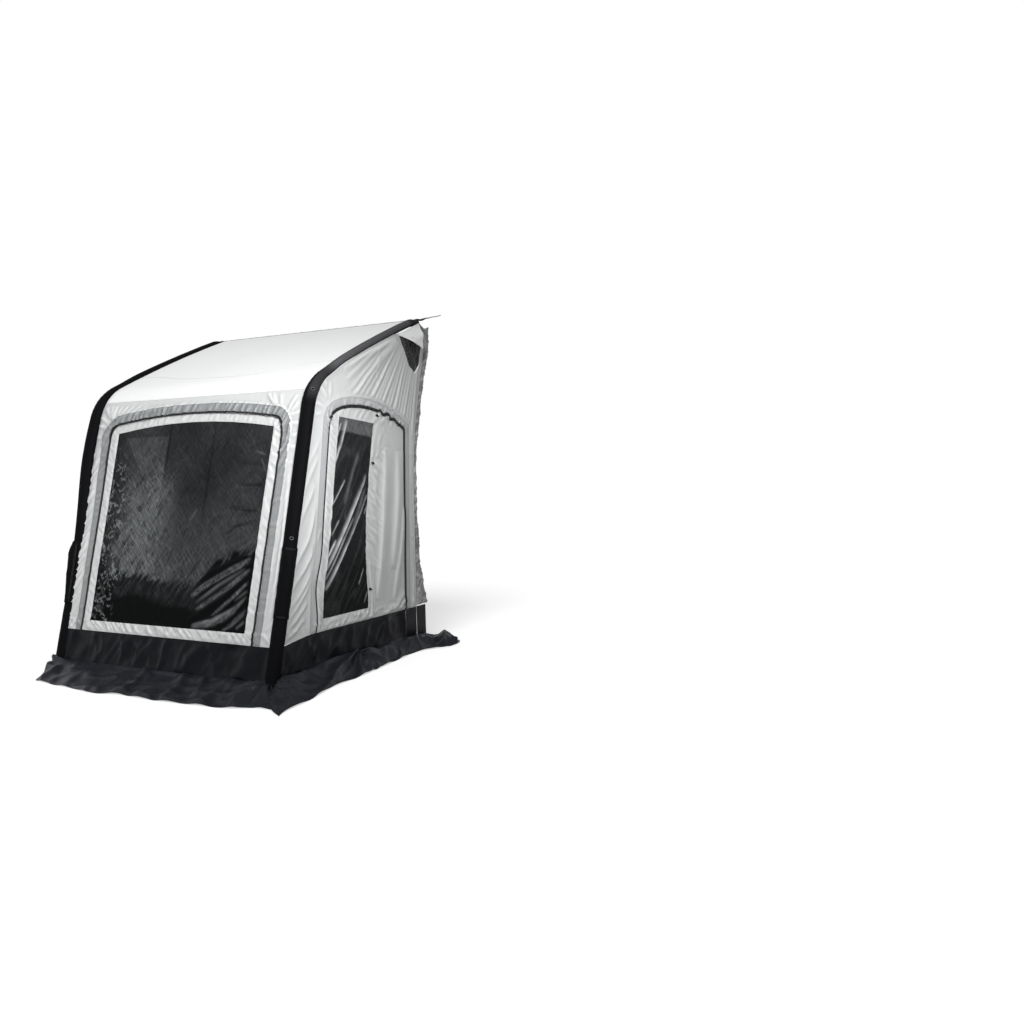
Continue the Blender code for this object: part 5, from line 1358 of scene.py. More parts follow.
ZIP_THICKNESS = 0.0018


class AWNING_OT_roof(AwningPiece, bpy.types.Operator):
    """Makes the curved roof cloth"""

    bl_idname = "awning.roof"
    bl_label = "Roof"

    def make(self, sizes, walls):
        lay_cloth("roof_cloth", "roof_panel", walls.front, walls.front_height, sizes.pitch * 1.3, sizes.cloth)


class AWNING_OT_front(AwningPiece, bpy.types.Operator):
    """Makes the front wall, its surround, zip, panel and window"""

    bl_idname = "awning.front"
    bl_label = "Front"

    def make(self, sizes, walls):
        height = walls.front_height
        for node in ("front_wall", "front_surround", "front_panel"):
            lay_cloth(node + "_cloth", node, walls.front, height, sizes.pitch, sizes.cloth)
        raised = lambda u, v: height(u, v) + 0.0020
        lay_cloth("front_zip_coil", "front_zip", walls.front, raised, sizes.pitch, ZIP_THICKNESS)
        lay_cloth(
            "front_window_film", "front_window", walls.front, height, sizes.film_pitch, sizes.film,
            paint={"streak": walls.window_streak, "glow": walls.window_film_light, "crinkle": walls.window_crinkle},
        )


class AWNING_OT_sides(AwningPiece, bpy.types.Operator):
    """Makes both side walls with their doors, zips and windows"""

    bl_idname = "awning.sides"
    bl_label = "Side walls and doors"

    def make(self, sizes, walls):
        height, warp = walls.side_height, walls.side_warp

        def raised(u, v):
            """The zip stands proud of the wall, least where the seam at the door's front covers it."""
            return height(u, v) + 0.0006 + 0.0024 * fade(u - door_seam(v) - 0.03, 0.05)

        for side in SIDES:
            chart = walls.side[side]
            for name, node in (("side_wall_cloth_", "side_wall_"), ("door_panel_cloth_", "door_panel_")):
                lay_cloth(name + side, node + side, chart, height, sizes.pitch, sizes.cloth, warp=warp)
            lay_cloth(
                "door_surround_cloth_" + side, "door_surround_" + side, chart, height,
                sizes.pitch, sizes.cloth, warp=warp, finish_name="door_trim",
            )
            coil, node = "door_zip_coil_" + side, "door_zip_" + side
            lay_cloth(coil, node, chart, raised, sizes.pitch, ZIP_THICKNESS, warp=warp)
            lay_cloth(
                "door_window_film_" + side, "door_window_" + side, chart, height,
                sizes.film_pitch, sizes.film, warp=warp,
                paint={"streak": walls.door_glint, "glow": walls.door_film_light, "crinkle": walls.door_crinkle},
            )


class AWNING_OT_vents(AwningPiece, bpy.types.Operator):
    """Makes the vent nets, their rain hoods and the ties that hang from them"""

    bl_idname = "awning.vents"
    bl_label = "Vents"

    def make(self, sizes, walls):
        for side, sign in SIDES.items():
            chart = walls.side[side]
            flat = lambda u, v: 0.0015 * soft_noise(u, v, 0.08, 61)
            rim = outline("vent_net_" + side, chart)

            def shade_edge(u, v):
                """Painted light: the net pales towards its lower border, where the hood's shade fades into
                the wall, over faint streaks.
                """
                inside = np.abs(along_path(u, v, rim)[0])
                pale = 0.75 * fade(0.016 - inside, 0.030) * fade(2.16 - v, 0.10)
                return np.clip(0.22 * creased(u * 3.0 + 0.5 * v, v * 0.5, 0.05, 65) + pale, 0.0, 1.0)

            lay_cloth(
                "vent_net_cloth_" + side, "vent_net_" + side, chart, flat, sizes.pitch, 0.0005,
                paint={"glow": shade_edge},
            )
            self.hood(side, sign, sizes)

    def hood(self, side, sign, sizes):
        """Rain hood that hangs from its upper edge and bellies out."""
        node = "vent_hood_" + side
        bm = outer_faces(NODES[node].data, (sign, 0.0, -0.2), 0.3)
        dissolve_flat(bm)
        low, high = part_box(node)
        for axis in (1, 2):
            count = int((high[axis] - low[axis]) / 0.008)
            cut_across(bm, axis, low[axis], high[axis], count, 0.0006)
        crisp_border(bm)
        mesh = mesh_from(bm, "vent_hood_cloth_" + side)
        co = numbers_of(mesh)
        y, z = co[:, 1].copy(), co[:, 2].copy()
        belly = fade(-along_path(y, z, ((0.685, 2.283), (0.964, 2.388)))[0], 0.09)
        ridge = fold(y, z, ((0.70, 2.285), (0.85, 2.24)), 0.02, 0.012)
        co[:, 0] += sign * (ridge * belly + belly * (0.024 + 0.005 * soft_noise(y, z, 0.05, 67)))
        middle = (y - 0.69) / 0.27
        co[:, 2] -= 0.020 * belly * np.clip(4.0 * middle * (1.0 - middle), 0.0, 1.0)
        write_cut_map(mesh, co[:, 1], co[:, 2])
        write_no_hem(mesh)
        mesh.vertices.foreach_set("co", co.ravel())
        shade_smooth(mesh)
        hood = wear(thicken(link(mesh.name, mesh), sizes.cloth * 1.5), node)
        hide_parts(node)
        tie = self.tie(side, sign)

    def tie(self, side, sign):
        """Tie that hangs from the hood's tip."""
        node = "vent_tie_" + side
        low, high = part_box(node)
        top = Vector((sign * max(abs(low.x), abs(high.x)), high.y - 0.004, high.z))
        foot = Vector((sign * (min(abs(low.x), abs(high.x)) + 0.006), low.y + 0.004, low.z))
        points = []
        for i in range(25):
            share = i / 24
            out = sign * (0.004 + 0.018 * share + 0.004 * math.sin(share * 5.0))
            points.append(tuple(top.lerp(foot, share) + Vector((out, 0.006 * math.sin(share * 7.0), 0.0))))
        tie = tube("vent_tie_cord_" + side, points, 0.0032, 8, reference=(0.0, 1.0, 0.0))
        wear(tie, node)
        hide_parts(node)
        return tie


def beam_relief(seed):
    """Soft wrinkles of a beam's sleeve, closest together on the shoulder. Its rear end lies flat."""
    def relief(along, around):
        shoulder = bell(along - 0.61, 0.06)
        inner = 0.5 + 0.5 * np.cos(2.0 * np.pi * (around - 0.5))
        rings = crests(along * 95.0 + 0.3 * np.sin(2.0 * np.pi * around), 2.0)
        sway = soft_noise(along * 40.0, around * 3.0, 1.0, seed)
        flat = 1.0 - 0.30 * fade(along - 0.975, 0.025)
        angle = 2.0 * np.pi * around
        wide = 1.0 + (SLEEVE_SPREAD - 1.0) * fade(0.68 - along, 0.12)
        oval = 1.0 / np.sqrt((np.cos(angle) / wide) ** 2 + (np.sin(angle) / flat) ** 2)
        return oval * (1.0 - 0.05 * shoulder * inner * rings + 0.018 * sway) - 1.0
    return relief


def beam_sheen_band(sign):
    """Painted sheen: a grey band on the outer side of a beam's roof run, between black seams, where its black
    satin would catch the sky.
    """
    middle = 0.92 if sign > 0 else 0.58
    def tone(along, around):
        away = np.abs((around - middle + 0.5) % 1.0 - 0.5)
        run = 0.30 * fade(along - 0.555, 0.03) + 0.70 * fade(along - 0.635, 0.05)
        run *= 1.0 - 0.75 * fade(along - 0.955, 0.02)
        return run * fade(0.155 - away, 0.02)
    return tone


class AWNING_OT_beams(AwningPiece, bpy.types.Operator):
    """Makes the beams' bladders and sleeves, their gathered ends and the cords that tie them"""

    bl_idname = "awning.beams"
    bl_label = "Air beams"

    def make(self, sizes, walls):
        corners, radii = beam_corners()
        radii[-1] = ROOF_BEAM_RADIUS
        line = RoundedLine(np.vstack([corners[:-1], self.flat_end(corners)]))
        start = 0.0453
        s = np.linspace(start, line.marks[-1] - 0.001, 320)
        proud = 0.012 * fade(s - line.marks[6], 0.25) * fade(line.marks[-1] - 0.01 - s, 0.10)
        z = line.at(s)[1]
        radius = np.interp(s, line.marks, radii)
        flare = 1.0 + 0.05 * bell(s - start, 0.012)
        for side, sign in SIDES.items():
            share = bow_share(side, z)
            y, z = line.at(s, proud + BOW_AHEAD * share)
            points = np.stack([sign * (BEAM_X + BOW_OUT * share), y, z], 1)
            bladder = tube("air_bladder_film_" + side, points[14:-16], radius[14:-16] * 0.90, 32)
            wear(bladder, "air_bladder_" + side)
            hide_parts("air_bladder_" + side)
            node = "beam_sleeve_" + side
            # The sleeve's tone paints a grey sheen along its roof run
            sleeve = tube(
                "beam_sleeve_cloth_" + side, points, radius * flare * 0.995, 40, beam_relief(71),
                closed_ends=False, tone=beam_sheen_band(sign),
            )
            wear(thicken(sleeve, sizes.cloth * 1.5), node)
            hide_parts(node)
            self.end(side, sign, line)
            self.tail(side, sign)

    def flat_end(self, corners):
        """Corners of the beam's line, the last one moved on because the sleeve's flat end reaches past it."""
        past = corners[-1] - corners[-2]
        return corners[-1] + past / np.hypot(*past) * 0.030

    def tail(self, side, sign):
        """Black cord that ties the sleeve's end."""
        x = sign * np.linspace(0.965, 1.088, 16)
        away = np.linspace(0.0, 1.0, 16)
        points = np.stack([x, 0.958 + 0.008 * away, 2.406 + 0.006 * away + 0.004 * np.sin(away * 9.0)], 1)
        radii = np.linspace(0.0085, 0.0026, 16)
        wear(tube("beam_tail_cord_" + side, points, radii, 10, reference=UP), "beam_end_" + side)

    def end(self, side, sign, line):
        """Gathered end of the sleeve, tied off."""
        node = "beam_end_" + side
        s = np.linspace(line.marks[-1] - 0.02, line.marks[-1], 14)
        y, z = line.at(s)
        heading = np.array([math.cos(ROOF_SLOPE), math.sin(ROOF_SLOPE)])
        spare = np.linspace(0.0, 0.010, 14)
        points = np.stack([np.full(14, sign * BEAM_X), y + heading[0] * spare, z + heading[1] * spare], 1)
        gather = lambda along, around: 0.10 * np.cos(2.0 * np.pi * around * 9) * along
        end = tube("beam_end_cloth_" + side, points, np.linspace(0.0135, 0.0085, 14), 36, gather)
        wear(end, node)
        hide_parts(node)


class AWNING_OT_covers(AwningPiece, bpy.types.Operator):
    """Makes the flaps over the inflation valves, with their tabs"""

    bl_idname = "awning.covers"
    bl_label = "Valve covers"

    def make(self, sizes, walls):
        for side, sign in SIDES.items():
            node = "valve_cover_" + side
            out = (LEG_FACE + Vector((sign, 0.0, 0.0))).normalized()
            name = "valve_cover_cloth_" + side
            bm = merged(NODES[node].data)
            axis_point = Vector((sign * BEAM_X, FRONT_Y, 0.0))

            def outward(face):
                rel = face.calc_center_median() - axis_point
                rel -= LEG_AXIS * rel.dot(LEG_AXIS)
                return face.normal.dot(rel.normalized())

            drop = [f for f in bm.faces if outward(f) < 0.55]
            bmesh.ops.delete(bm, geom=drop, context="FACES")
            made = divided(bm, name, 3)
            co, normals = numbers_of(made), vertex_normals(made)
            rel = co - np.array(axis_point)
            up = rel @ np.array(LEG_AXIS)
            around = np.arctan2(rel @ np.array(LEG_AXIS.cross(out)), rel @ np.array(out)) * BEAM_RADIUS
            wrinkle = 0.0016 * soft_noise(around * 2, up, 0.05, 73)
            wrinkle += 0.0012 * creased(around, up * 2.2, 0.05, 79)
            made.vertices.foreach_set("co", self.spread(co + normals * wrinkle[:, None], sign).ravel())
            write_cut_map(made, around, up)
            edge = np.minimum(np.minimum(up - up.min(), up.max() - up), 0.0544 - np.abs(around))
            write_numbers(made, "hem", np.clip(edge, 0.0, 1.0))
            shade_smooth(made)
            cover = wear(thicken(link(name, made), sizes.cloth * 1.6), node)
            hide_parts(node)
            tabs = self.tabs(side, sign, out, float(up.min()), float(up.max()))

    def spread(self, co, sign):
        """Moves points round a beam out to its sleeve, which is wider than deep."""
        rel = co - np.array((sign * BEAM_X, FRONT_Y, 0.0))
        deep = rel @ np.array(LEG_FACE)
        rel = rel + np.array(LEG_FACE) * (deep * 0.05)[:, None]
        rel[:, 0] *= SLEEVE_SPREAD
        share = bow_share("left" if sign < 0 else "right", rel[:, 2])[:, None]
        bow = np.array((sign * BOW_OUT, 0.0, 0.0)) + np.array(LEG_FACE) * BOW_AHEAD
        return rel + np.array((sign * BEAM_X, FRONT_Y, 0.0)) + bow * share

    def tabs(self, side, sign, out, low, high):
        """Square hook-and-loop tabs at the cover's four corners."""
        made = []
        across = LEG_AXIS.cross(out)
        base = Vector((sign * BEAM_X, FRONT_Y, 0.0))
        bend = BEAM_RADIUS + 0.0052
        upper, lower = high - 0.010, low + 0.012
        for name, height, angle in zip("abcd", (upper, upper, lower, lower), (-0.9, 0.9, -0.9, 0.9)):
            def place(x, y):
                turn = angle + x * 0.022 / bend
                radial = out * math.cos(turn) + across * math.sin(turn)
                return base + LEG_AXIS * (height + y * 0.026) + radial * bend

            mesh = patch("cover_tab_" + name + "_" + side, 8, place)
            mesh.vertices.foreach_set("co", self.spread(numbers_of(mesh), sign).ravel())
            shade_smooth(mesh)
            write_cut_map(mesh, *numbers_of(mesh)[:, [0, 2]].T)
            write_no_hem(mesh)
            tab = thicken(link(mesh.name, mesh), 0.0018)
            tab.modifiers["thickness"].offset = 0.0
            wear(tab, "valve_cover_" + side)
            made.append(tab)
        return made


# Sizes of the pads' wrinkles, and of the voxels that they are cut from, in metres
PAD_VOXEL = 0.0055
PAD_WRINKLE = 0.0080
PAD_SINK = 0.0055
PAD_RIB = 0.0060


class AWNING_OT_rear_pads(AwningPiece, bpy.types.Operator):
    """Makes the padded rear edges, swollen as cloth and then wrinkled"""

    bl_idname = "awning.rear_pads"
    bl_label = "Rear pads"

    def make(self, sizes, walls):
        for side in SIDES:
            node = "rear_pad_" + side
            name = "rear_pad_cloth_" + side
            pad = link(name, mesh_from(merged(NODES[node].data), name))
            remesh = pad.modifiers.new("remesh", "REMESH")
            remesh.mode = "VOXEL"
            remesh.voxel_size = PAD_VOXEL
            voxels = evaluated_mesh(pad)
            pad.modifiers.clear()
            voxels.name = name + "_mesh"
            pad.data = voxels
            self.swell(pad, sizes.pad_swell)
            co, normals = numbers_of(pad.data), vertex_normals(pad.data)
            wrinkle = PAD_WRINKLE * creased(co[:, 1] * 1.6, co[:, 2], 0.07, 83) - PAD_SINK
            ribs = PAD_RIB * gathers(co[:, 2] + 0.5 * co[:, 1], co[:, 1], 0.030, 89)
            low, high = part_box(node)
            grip = fade(co[:, 2] - low.z, 0.03) * fade(high.z - co[:, 2], 0.03)
            grip = grip * fade(np.abs(co[:, 0]) - 0.990, 0.008)
            co += normals * ((wrinkle + ribs) * grip)[:, None]
            pad.data.vertices.foreach_set("co", co.ravel())
            write_cut_map(pad.data, co[:, 1], co[:, 2])
            write_no_hem(pad.data)
            # Painted highlights: pale streaks over the pad's shiny wrinkles, darker towards the top
            streaks = gathers(co[:, 2] * 0.8 - 0.9 * co[:, 1], co[:, 2] + co[:, 1], 0.024, 91)
            write_numbers(pad.data, "tone", (0.25 + 0.9 * streaks) * fade(high.z + 0.01 - co[:, 2], 0.12))
            shade_smooth(pad.data)
            soft = pad.modifiers.new("soften", "SUBSURF")
            soft.levels = soft.render_levels = 1
            wear(pad, node)
            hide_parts(node)

    def swell(self, pad, most):
        """Blows the pad up as cloth for a short while, and caps how far any point may move."""
        rest = numbers_of(pad.data)
        cloth = pad.modifiers.new("swell", "CLOTH")
        cloth.settings.use_pressure = True
        cloth.settings.uniform_pressure_force = 4.0
        cloth.settings.effector_weights.gravity = 0.0
        cloth.settings.quality = 5
        for number in range(1, 15):
            bpy.context.scene.frame_set(number)
        swollen = evaluated_mesh(pad)
        moved = numbers_of(swollen) - rest
        length = np.linalg.norm(moved, axis=1)
        moved *= np.minimum(1.0, most / np.maximum(length, 1e-9))[:, None]
        pad.modifiers.clear()
        bpy.context.scene.frame_set(1)
        bpy.data.meshes.remove(swollen)
        pad.data.vertices.foreach_set("co", (rest + moved).ravel())
        pad.data.update()


def patch(name, cells, place):
    """Square grid of cells, whose points from -0.5 to 0.5 a function puts in their places."""
    bm = bmesh.new()
    bmesh.ops.create_grid(bm, x_segments=cells, y_segments=cells, size=0.5)
    for vert in bm.verts:
        vert.co = place(vert.co.x, vert.co.y)
    return mesh_from(bm, name)


def star(x, y, points, count, reach, height):
    """Folds that meet at pinched points of a skirt."""
    total = np.zeros(len(x))
    for px, py in points:
        r = np.hypot(x - px, y - py)
        angle = np.arctan2(y - py, x - px)
        ray = crests(angle * count / (2 * np.pi) + 0.2, 1.5)
        total += height * ray * np.exp(-((r / reach) ** 1.3)) * fade(r, 0.03)
    return total


class AWNING_OT_skirts(AwningPiece, bpy.types.Operator):
    """Makes the mud skirts and the flaps that lie on the ground"""

    bl_idname = "awning.skirts"
    bl_label = "Skirts and ground flaps"

    def make(self, sizes, walls):
        self.hang("front_skirt", (0.0, -0.95, 0.3), lambda co: (co[:, 0], co[:, 2]))
        self.lie("front_flap", ((1.02, -0.76), (-1.02, -0.76)))
        for side, sign in SIDES.items():
            self.hang("side_skirt_" + side, (sign, 0.0, 0.0), lambda co: (co[:, 1], co[:, 2]))
            flat = lambda u, v: 0.002 * soft_noise(u, v, 0.07, 97)
            name, node = "rear_skirt_cloth_" + side, "rear_skirt_" + side
            lay_cloth(name, node, walls.side[side], flat, sizes.pitch, 0.0018)
            self.lie("side_flap_" + side, ((sign * 1.02, 0.05), (sign * 1.03, -0.74)))
            self.gusset(side, sign)
            self.underlay(side, sign)

    def gusset(self, side, sign):
        """Small piece of skirt that closes the corner behind the beam's foot."""
        def place(x, y):
            rise = y + 0.5
            return sign * (0.958 + 0.085 * x), -0.688 - 0.012 * rise - 0.01 * x, 0.004 + 0.085 * rise

        mesh = patch("corner_gusset_" + side, 8, place)
        co = numbers_of(mesh)
        shade_smooth(mesh)
        self.close_corner(mesh, co[:, 0], co[:, 2], "front_skirt")

    def underlay(self, side, sign):
        """Flat patch on the ground that joins both flaps under the beam's foot."""
        place = lambda x, y: (sign * (0.95 + 0.16 * x), -0.735 + 0.11 * y, 0.0035)
        mesh = patch("corner_underlay_" + side, 6, place)
        co = numbers_of(mesh)
        self.close_corner(mesh, co[:, 0], co[:, 1], "front_flap")

    def close_corner(self, mesh, u, v, node):
        write_cut_map(mesh, u, v)
        write_no_hem(mesh)
        wear(thicken(link(mesh.name, mesh), 0.0015), node)

    def hang(self, node, facing, chart_of):
        """A skirt: a finer copy of its CAD sheet with leaning folds that die out at its hems."""
        made, co, u, v, hem = finer_sheet(node + "_cloth", node, facing, chart_of, 0.4)
        lean = creased(u + 0.5 * v, (v - 0.4 * u) * 0.7, 0.10, 101)
        steep = creased(u * 1.2 - 0.35 * v, v * 0.45, 0.07, 105)
        slant = gathers(0.8 * u - 0.6 * v, 0.6 * u + 0.8 * v, 0.13, 111)
        lift = 0.014 * (lean - 0.5) + 0.003 * (steep - 0.4) + 0.030 * (slant - 0.3)
        lift = (lift + 0.006 * soft_noise(u, v, 0.09, 103)) * fade(hem, 0.045)
        co = co + vertex_normals(made) * lift[:, None]
        rim = fade(0.035 - hem, 0.03)
        co[:, 2] -= 0.014 * rim * (co[:, 2] < 0.13)
        if node.startswith("side"):
            co[:, 1] += 0.005 * rim * (co[:, 1] > 0.62)
        self.finish_sheet(node, made, co, "hung")

    def lie(self, node, pinches):
        """A ground flap: a finer copy of its CAD sheet with folds that meet at pinched points."""
        plan = lambda co: (co[:, 0], co[:, 1])
        made, co, u, v, hem = finer_sheet(node + "_cloth", node, UP, plan, 0.12)
        lean = creased(u + 0.4 * v, v - 0.3 * u, 0.12, 107)
        broad = gathers(u + 0.5 * v, v - 0.5 * u, 0.16, 115)
        lift = 0.020 * lean + 0.036 * broad + 0.008 * soft_noise(u, v, 0.10, 109) - 0.012
        lift = lift * fade(hem, 0.03) + star(u, v, pinches, 11, 0.20, 0.050) * fade(hem, 0.02)
        heap = fade(v - 0.76, 0.12) if node.startswith("side") else 0.0
        lift = lift + heap * fade(hem, 0.03) * 0.055 * (creased(u * 1.5, v, 0.07, 127) - 0.25)
        co = co + vertex_normals(made) * lift[:, None]
        co[:, :2] += self.corner(node, u, v)
        co[:, 2] = np.maximum(co[:, 2], 0.0012)
        self.finish_sheet(node, made, co, "laid")

    def corner(self, node, u, v):
        """Draws the flaps together at the front corners, where they overlap on the ground."""
        sign = np.where(u < 0.0, -1.0, 1.0)
        out = np.abs(u)
        reach = np.clip(np.hypot(out - 1.0, v + 0.74) / 0.50, 0.0, 1.0)
        du, dv = np.zeros(len(u)), np.zeros(len(u))
        if node == "front_flap":
            near = fade(out - 0.93, 0.30) * (u > 0.0)
            bulge = 0.045 * np.sin(np.pi * reach) * near
            du += -0.150 * near * reach**1.5 + bulge * 0.7
            dv += 0.075 * near * reach**1.5 + bulge * 0.6
        else:
            side = along_path(out, v, ((1.0, -0.735), (1.38, -0.971)))[0]
            near = bell(side, 0.13)
            tuck = 0.075 * np.sin(np.pi * reach) * near
            du += 0.016 * near * reach - tuck * 0.75
            dv += -0.100 * near * reach**1.3 - tuck * 0.65
            wave = fade(out - 1.15, 0.1) * fade(v + 0.5, 0.3)
            du += 0.022 * wave * soft_noise(v, out * 0.0, 0.09, 131)
        return np.stack([sign * du, dv], 1)

    def finish_sheet(self, node, made, co, held):
        area = mesh_area(made)
        made.vertices.foreach_set("co", co.ravel())
        made.update()
        paint = "flap_cloth" if held == "laid" else None
        sheet = wear(thicken(link(node + "_cloth", made), 0.0019), node, paint)
        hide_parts(node)
        bm = bmesh.new()
        bm.from_mesh(made)
        bm.free()


# The bead, its grey hem that also paints the bead's shade on the roof, and the tapes, in metres
BEAD_RADIUS = 0.0036
BEAD_LOOSE = 1.0
BEAD_BEND = 0.012
HEM_SHADE_RADIUS = 0.0060
HEM_SHADE_END = 0.985
TAPE_ASIDE = 0.006
TAPE_LIFT = 0.0030


class AWNING_OT_trims(AwningPiece, bpy.types.Operator):
    """Makes the bead, the piping and the seam welts"""

    bl_idname = "awning.trims"
    bl_label = "Bead, piping and welts"

    def make(self, sizes, walls):
        self.bead()
        for side in SIDES:
            rise = np.linspace(0.075, 0.300, 40)
            level = lambda u, v: np.zeros(len(u))
            self.welt(
                "rear_skirt_piping_" + side, walls.side[side], level, np.full(40, 0.805), rise, 0.0034,
                "rear_skirt_" + side, "wall_cloth",
            )
            self.door_zip_tape(side, walls)
        self.front_zip_tape(walls)
        chart = walls.front
        x = np.linspace(-0.944, 0.944, 150)
        # The cross seam of the roof is bowed, as photographed
        marks = (-0.95, -0.73, -0.40, 0.13, 0.47, 0.68, 0.95)
        bow = np.interp(x, marks, (2.062, 2.05, 2.01, 1.99, 2.01, 2.05, 2.06))
        bow = np.convolve(np.pad(bow, 8, mode="edge"), np.ones(17) / 17, mode="valid")
        for name, z in (("roof_front_welt", np.full(150, 1.855)), ("roof_cross_welt", bow)):
            v = np.array([float(chart.up(height)) for height in z])
            self.welt(name, chart, walls.front_height, x, v, sizes.piping, "roof_panel", "door_trim")

    def door_zip_tape(self, side, walls):
        """Black tape that covers the door's zip over the arch and down its rear leg."""
        loop = np.array(walls.door_edge[:-1])
        loop = np.roll(loop, -int(np.argmax(loop[:, 1])), axis=0)
        ring = np.vstack([loop, loop[:1]])
        marks = run_along(ring)
        front = marks[int(np.argmin(np.abs(loop[:, 0] + 0.20) + 9.0 * (loop[:, 1] < 1.45)))]
        foot = marks[self.nearest(loop, loop[:, 0].max(), loop[:, 1].min())]
        runs = np.linspace(front, foot - marks[-1], 260) % marks[-1]
        u, v = (np.interp(runs, marks, ring[:, i]) for i in (0, 1))
        name, node = "door_zip_tape_" + side, "door_zip_" + side
        self.tape(name, node, walls.side[side], walls.side_height, u, v, 1.0, 0.0115, walls.side_warp)

    def nearest(self, loop, u, v):
        """Number of the loop's point nearest to a place."""
        return int(np.argmin(np.hypot(loop[:, 0] - u, loop[:, 1] - v)))

    def front_zip_tape(self, walls):
        """Black tape that covers the front's zip up both legs and over the top."""
        loop = np.array(walls.panel_edge[:-1])
        loop = np.roll(loop, -self.nearest(loop, loop[:, 0].max(), loop[:, 1].min()), axis=0)
        path = loop[:self.nearest(loop, loop[:, 0].min(), loop[:, 1].min()) + 1]
        marks = run_along(path)
        runs = np.linspace(0.0, marks[-1], 420)
        u, v = (np.interp(runs, marks, path[:, i]) for i in (0, 1))
        self.tape("front_zip_tape", "front_zip", walls.front, walls.front_height, u, v, -1.0, 0.0088)

    def tape(self, name, node, chart, height, u, v, side, half, warp=None):
        """Flat tape beside a line, on one side of it."""
        du, dv = np.gradient(u), np.gradient(v)
        size = np.hypot(du, dv)
        u, v = u - side * TAPE_ASIDE * dv / size, v + side * TAPE_ASIDE * du / size
        lift = height(u, v) + TAPE_LIFT
        su, sv = warp(u, v) if warp else (0.0, 0.0)

        def flat(along, around):
            """An oval 0.3 times as thick as it is wide."""
            turn = 2 * np.pi * around
            return 1.0 / np.hypot(np.cos(turn) / 0.30, np.sin(turn)) - 1.0

        co = chart.place(u + su, v + sv, lift)
        wear(tube(name, co, half, 16, flat, reference=chart.facing), node)

    def welt(self, name, chart, height, u, v, radius, node, finish_name):
        co = chart.place(u, v, height(u, v) - radius * 0.3)
        reference = (0.0, -0.7, 0.7) if chart.facing[0] == 0.0 else chart.facing
        wear(tube(name, co, radius, 6, reference=reference), node, finish_name)

    def bead(self):
        """Bead of the roof's rear edge, with its grey hem, whose grey also paints the bead's shade on the
        roof. One loose end rises and the other drops.
        """
        node = "keder_bead"
        low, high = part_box(node)
        middle = ((low.y + high.y) / 2, (low.z + high.z) / 2)
        x = np.linspace(low.x, high.x, 260)
        right = np.clip((x - BEAD_LOOSE) / (high.x - BEAD_LOOSE), 0.0, 1.0)
        left = np.clip((-x - BEAD_LOOSE) / (-low.x - BEAD_LOOSE), 0.0, 1.0)
        z = BEAD_HEIGHT + BEAD_BEND * right**1.3 - BEAD_BEND * left**1.3
        z += 0.0006 * np.sin(x * 37.0) + 0.0005 * np.sin(x * 91.0)
        points = np.stack([x, np.full(260, middle[0]), z], 1)

        def rope(along, around):
            return 0.08 * np.sin(along * 900.0) + 0.10 * soft_noise(along * 120.0, around * 2.0, 1.0, 113)

        bead = tube("keder_bead_cord", points, BEAD_RADIUS, 10, rope, reference=UP)
        # Grey hem under the bead, standing for its hem and its painted shade on the roof
        hem = points[np.abs(x) < HEM_SHADE_END] - np.array([0.0, HEM_SHADE_RADIUS, BEAD_RADIUS])
        wear(tube("keder_hem_shade_tape", hem, HEM_SHADE_RADIUS, 8, rope, reference=UP), node, "trim_cloth")
        wear(bead, node)
        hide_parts(node)


TOGGLE_PLACES = ((0.404, 1.694), (0.344, 1.367), (0.259, 0.505))
TOGGLE_RADII = (0.002, 0.0034, 0.004, 0.0042, 0.0042, 0.0042, 0.004, 0.0034, 0.002)


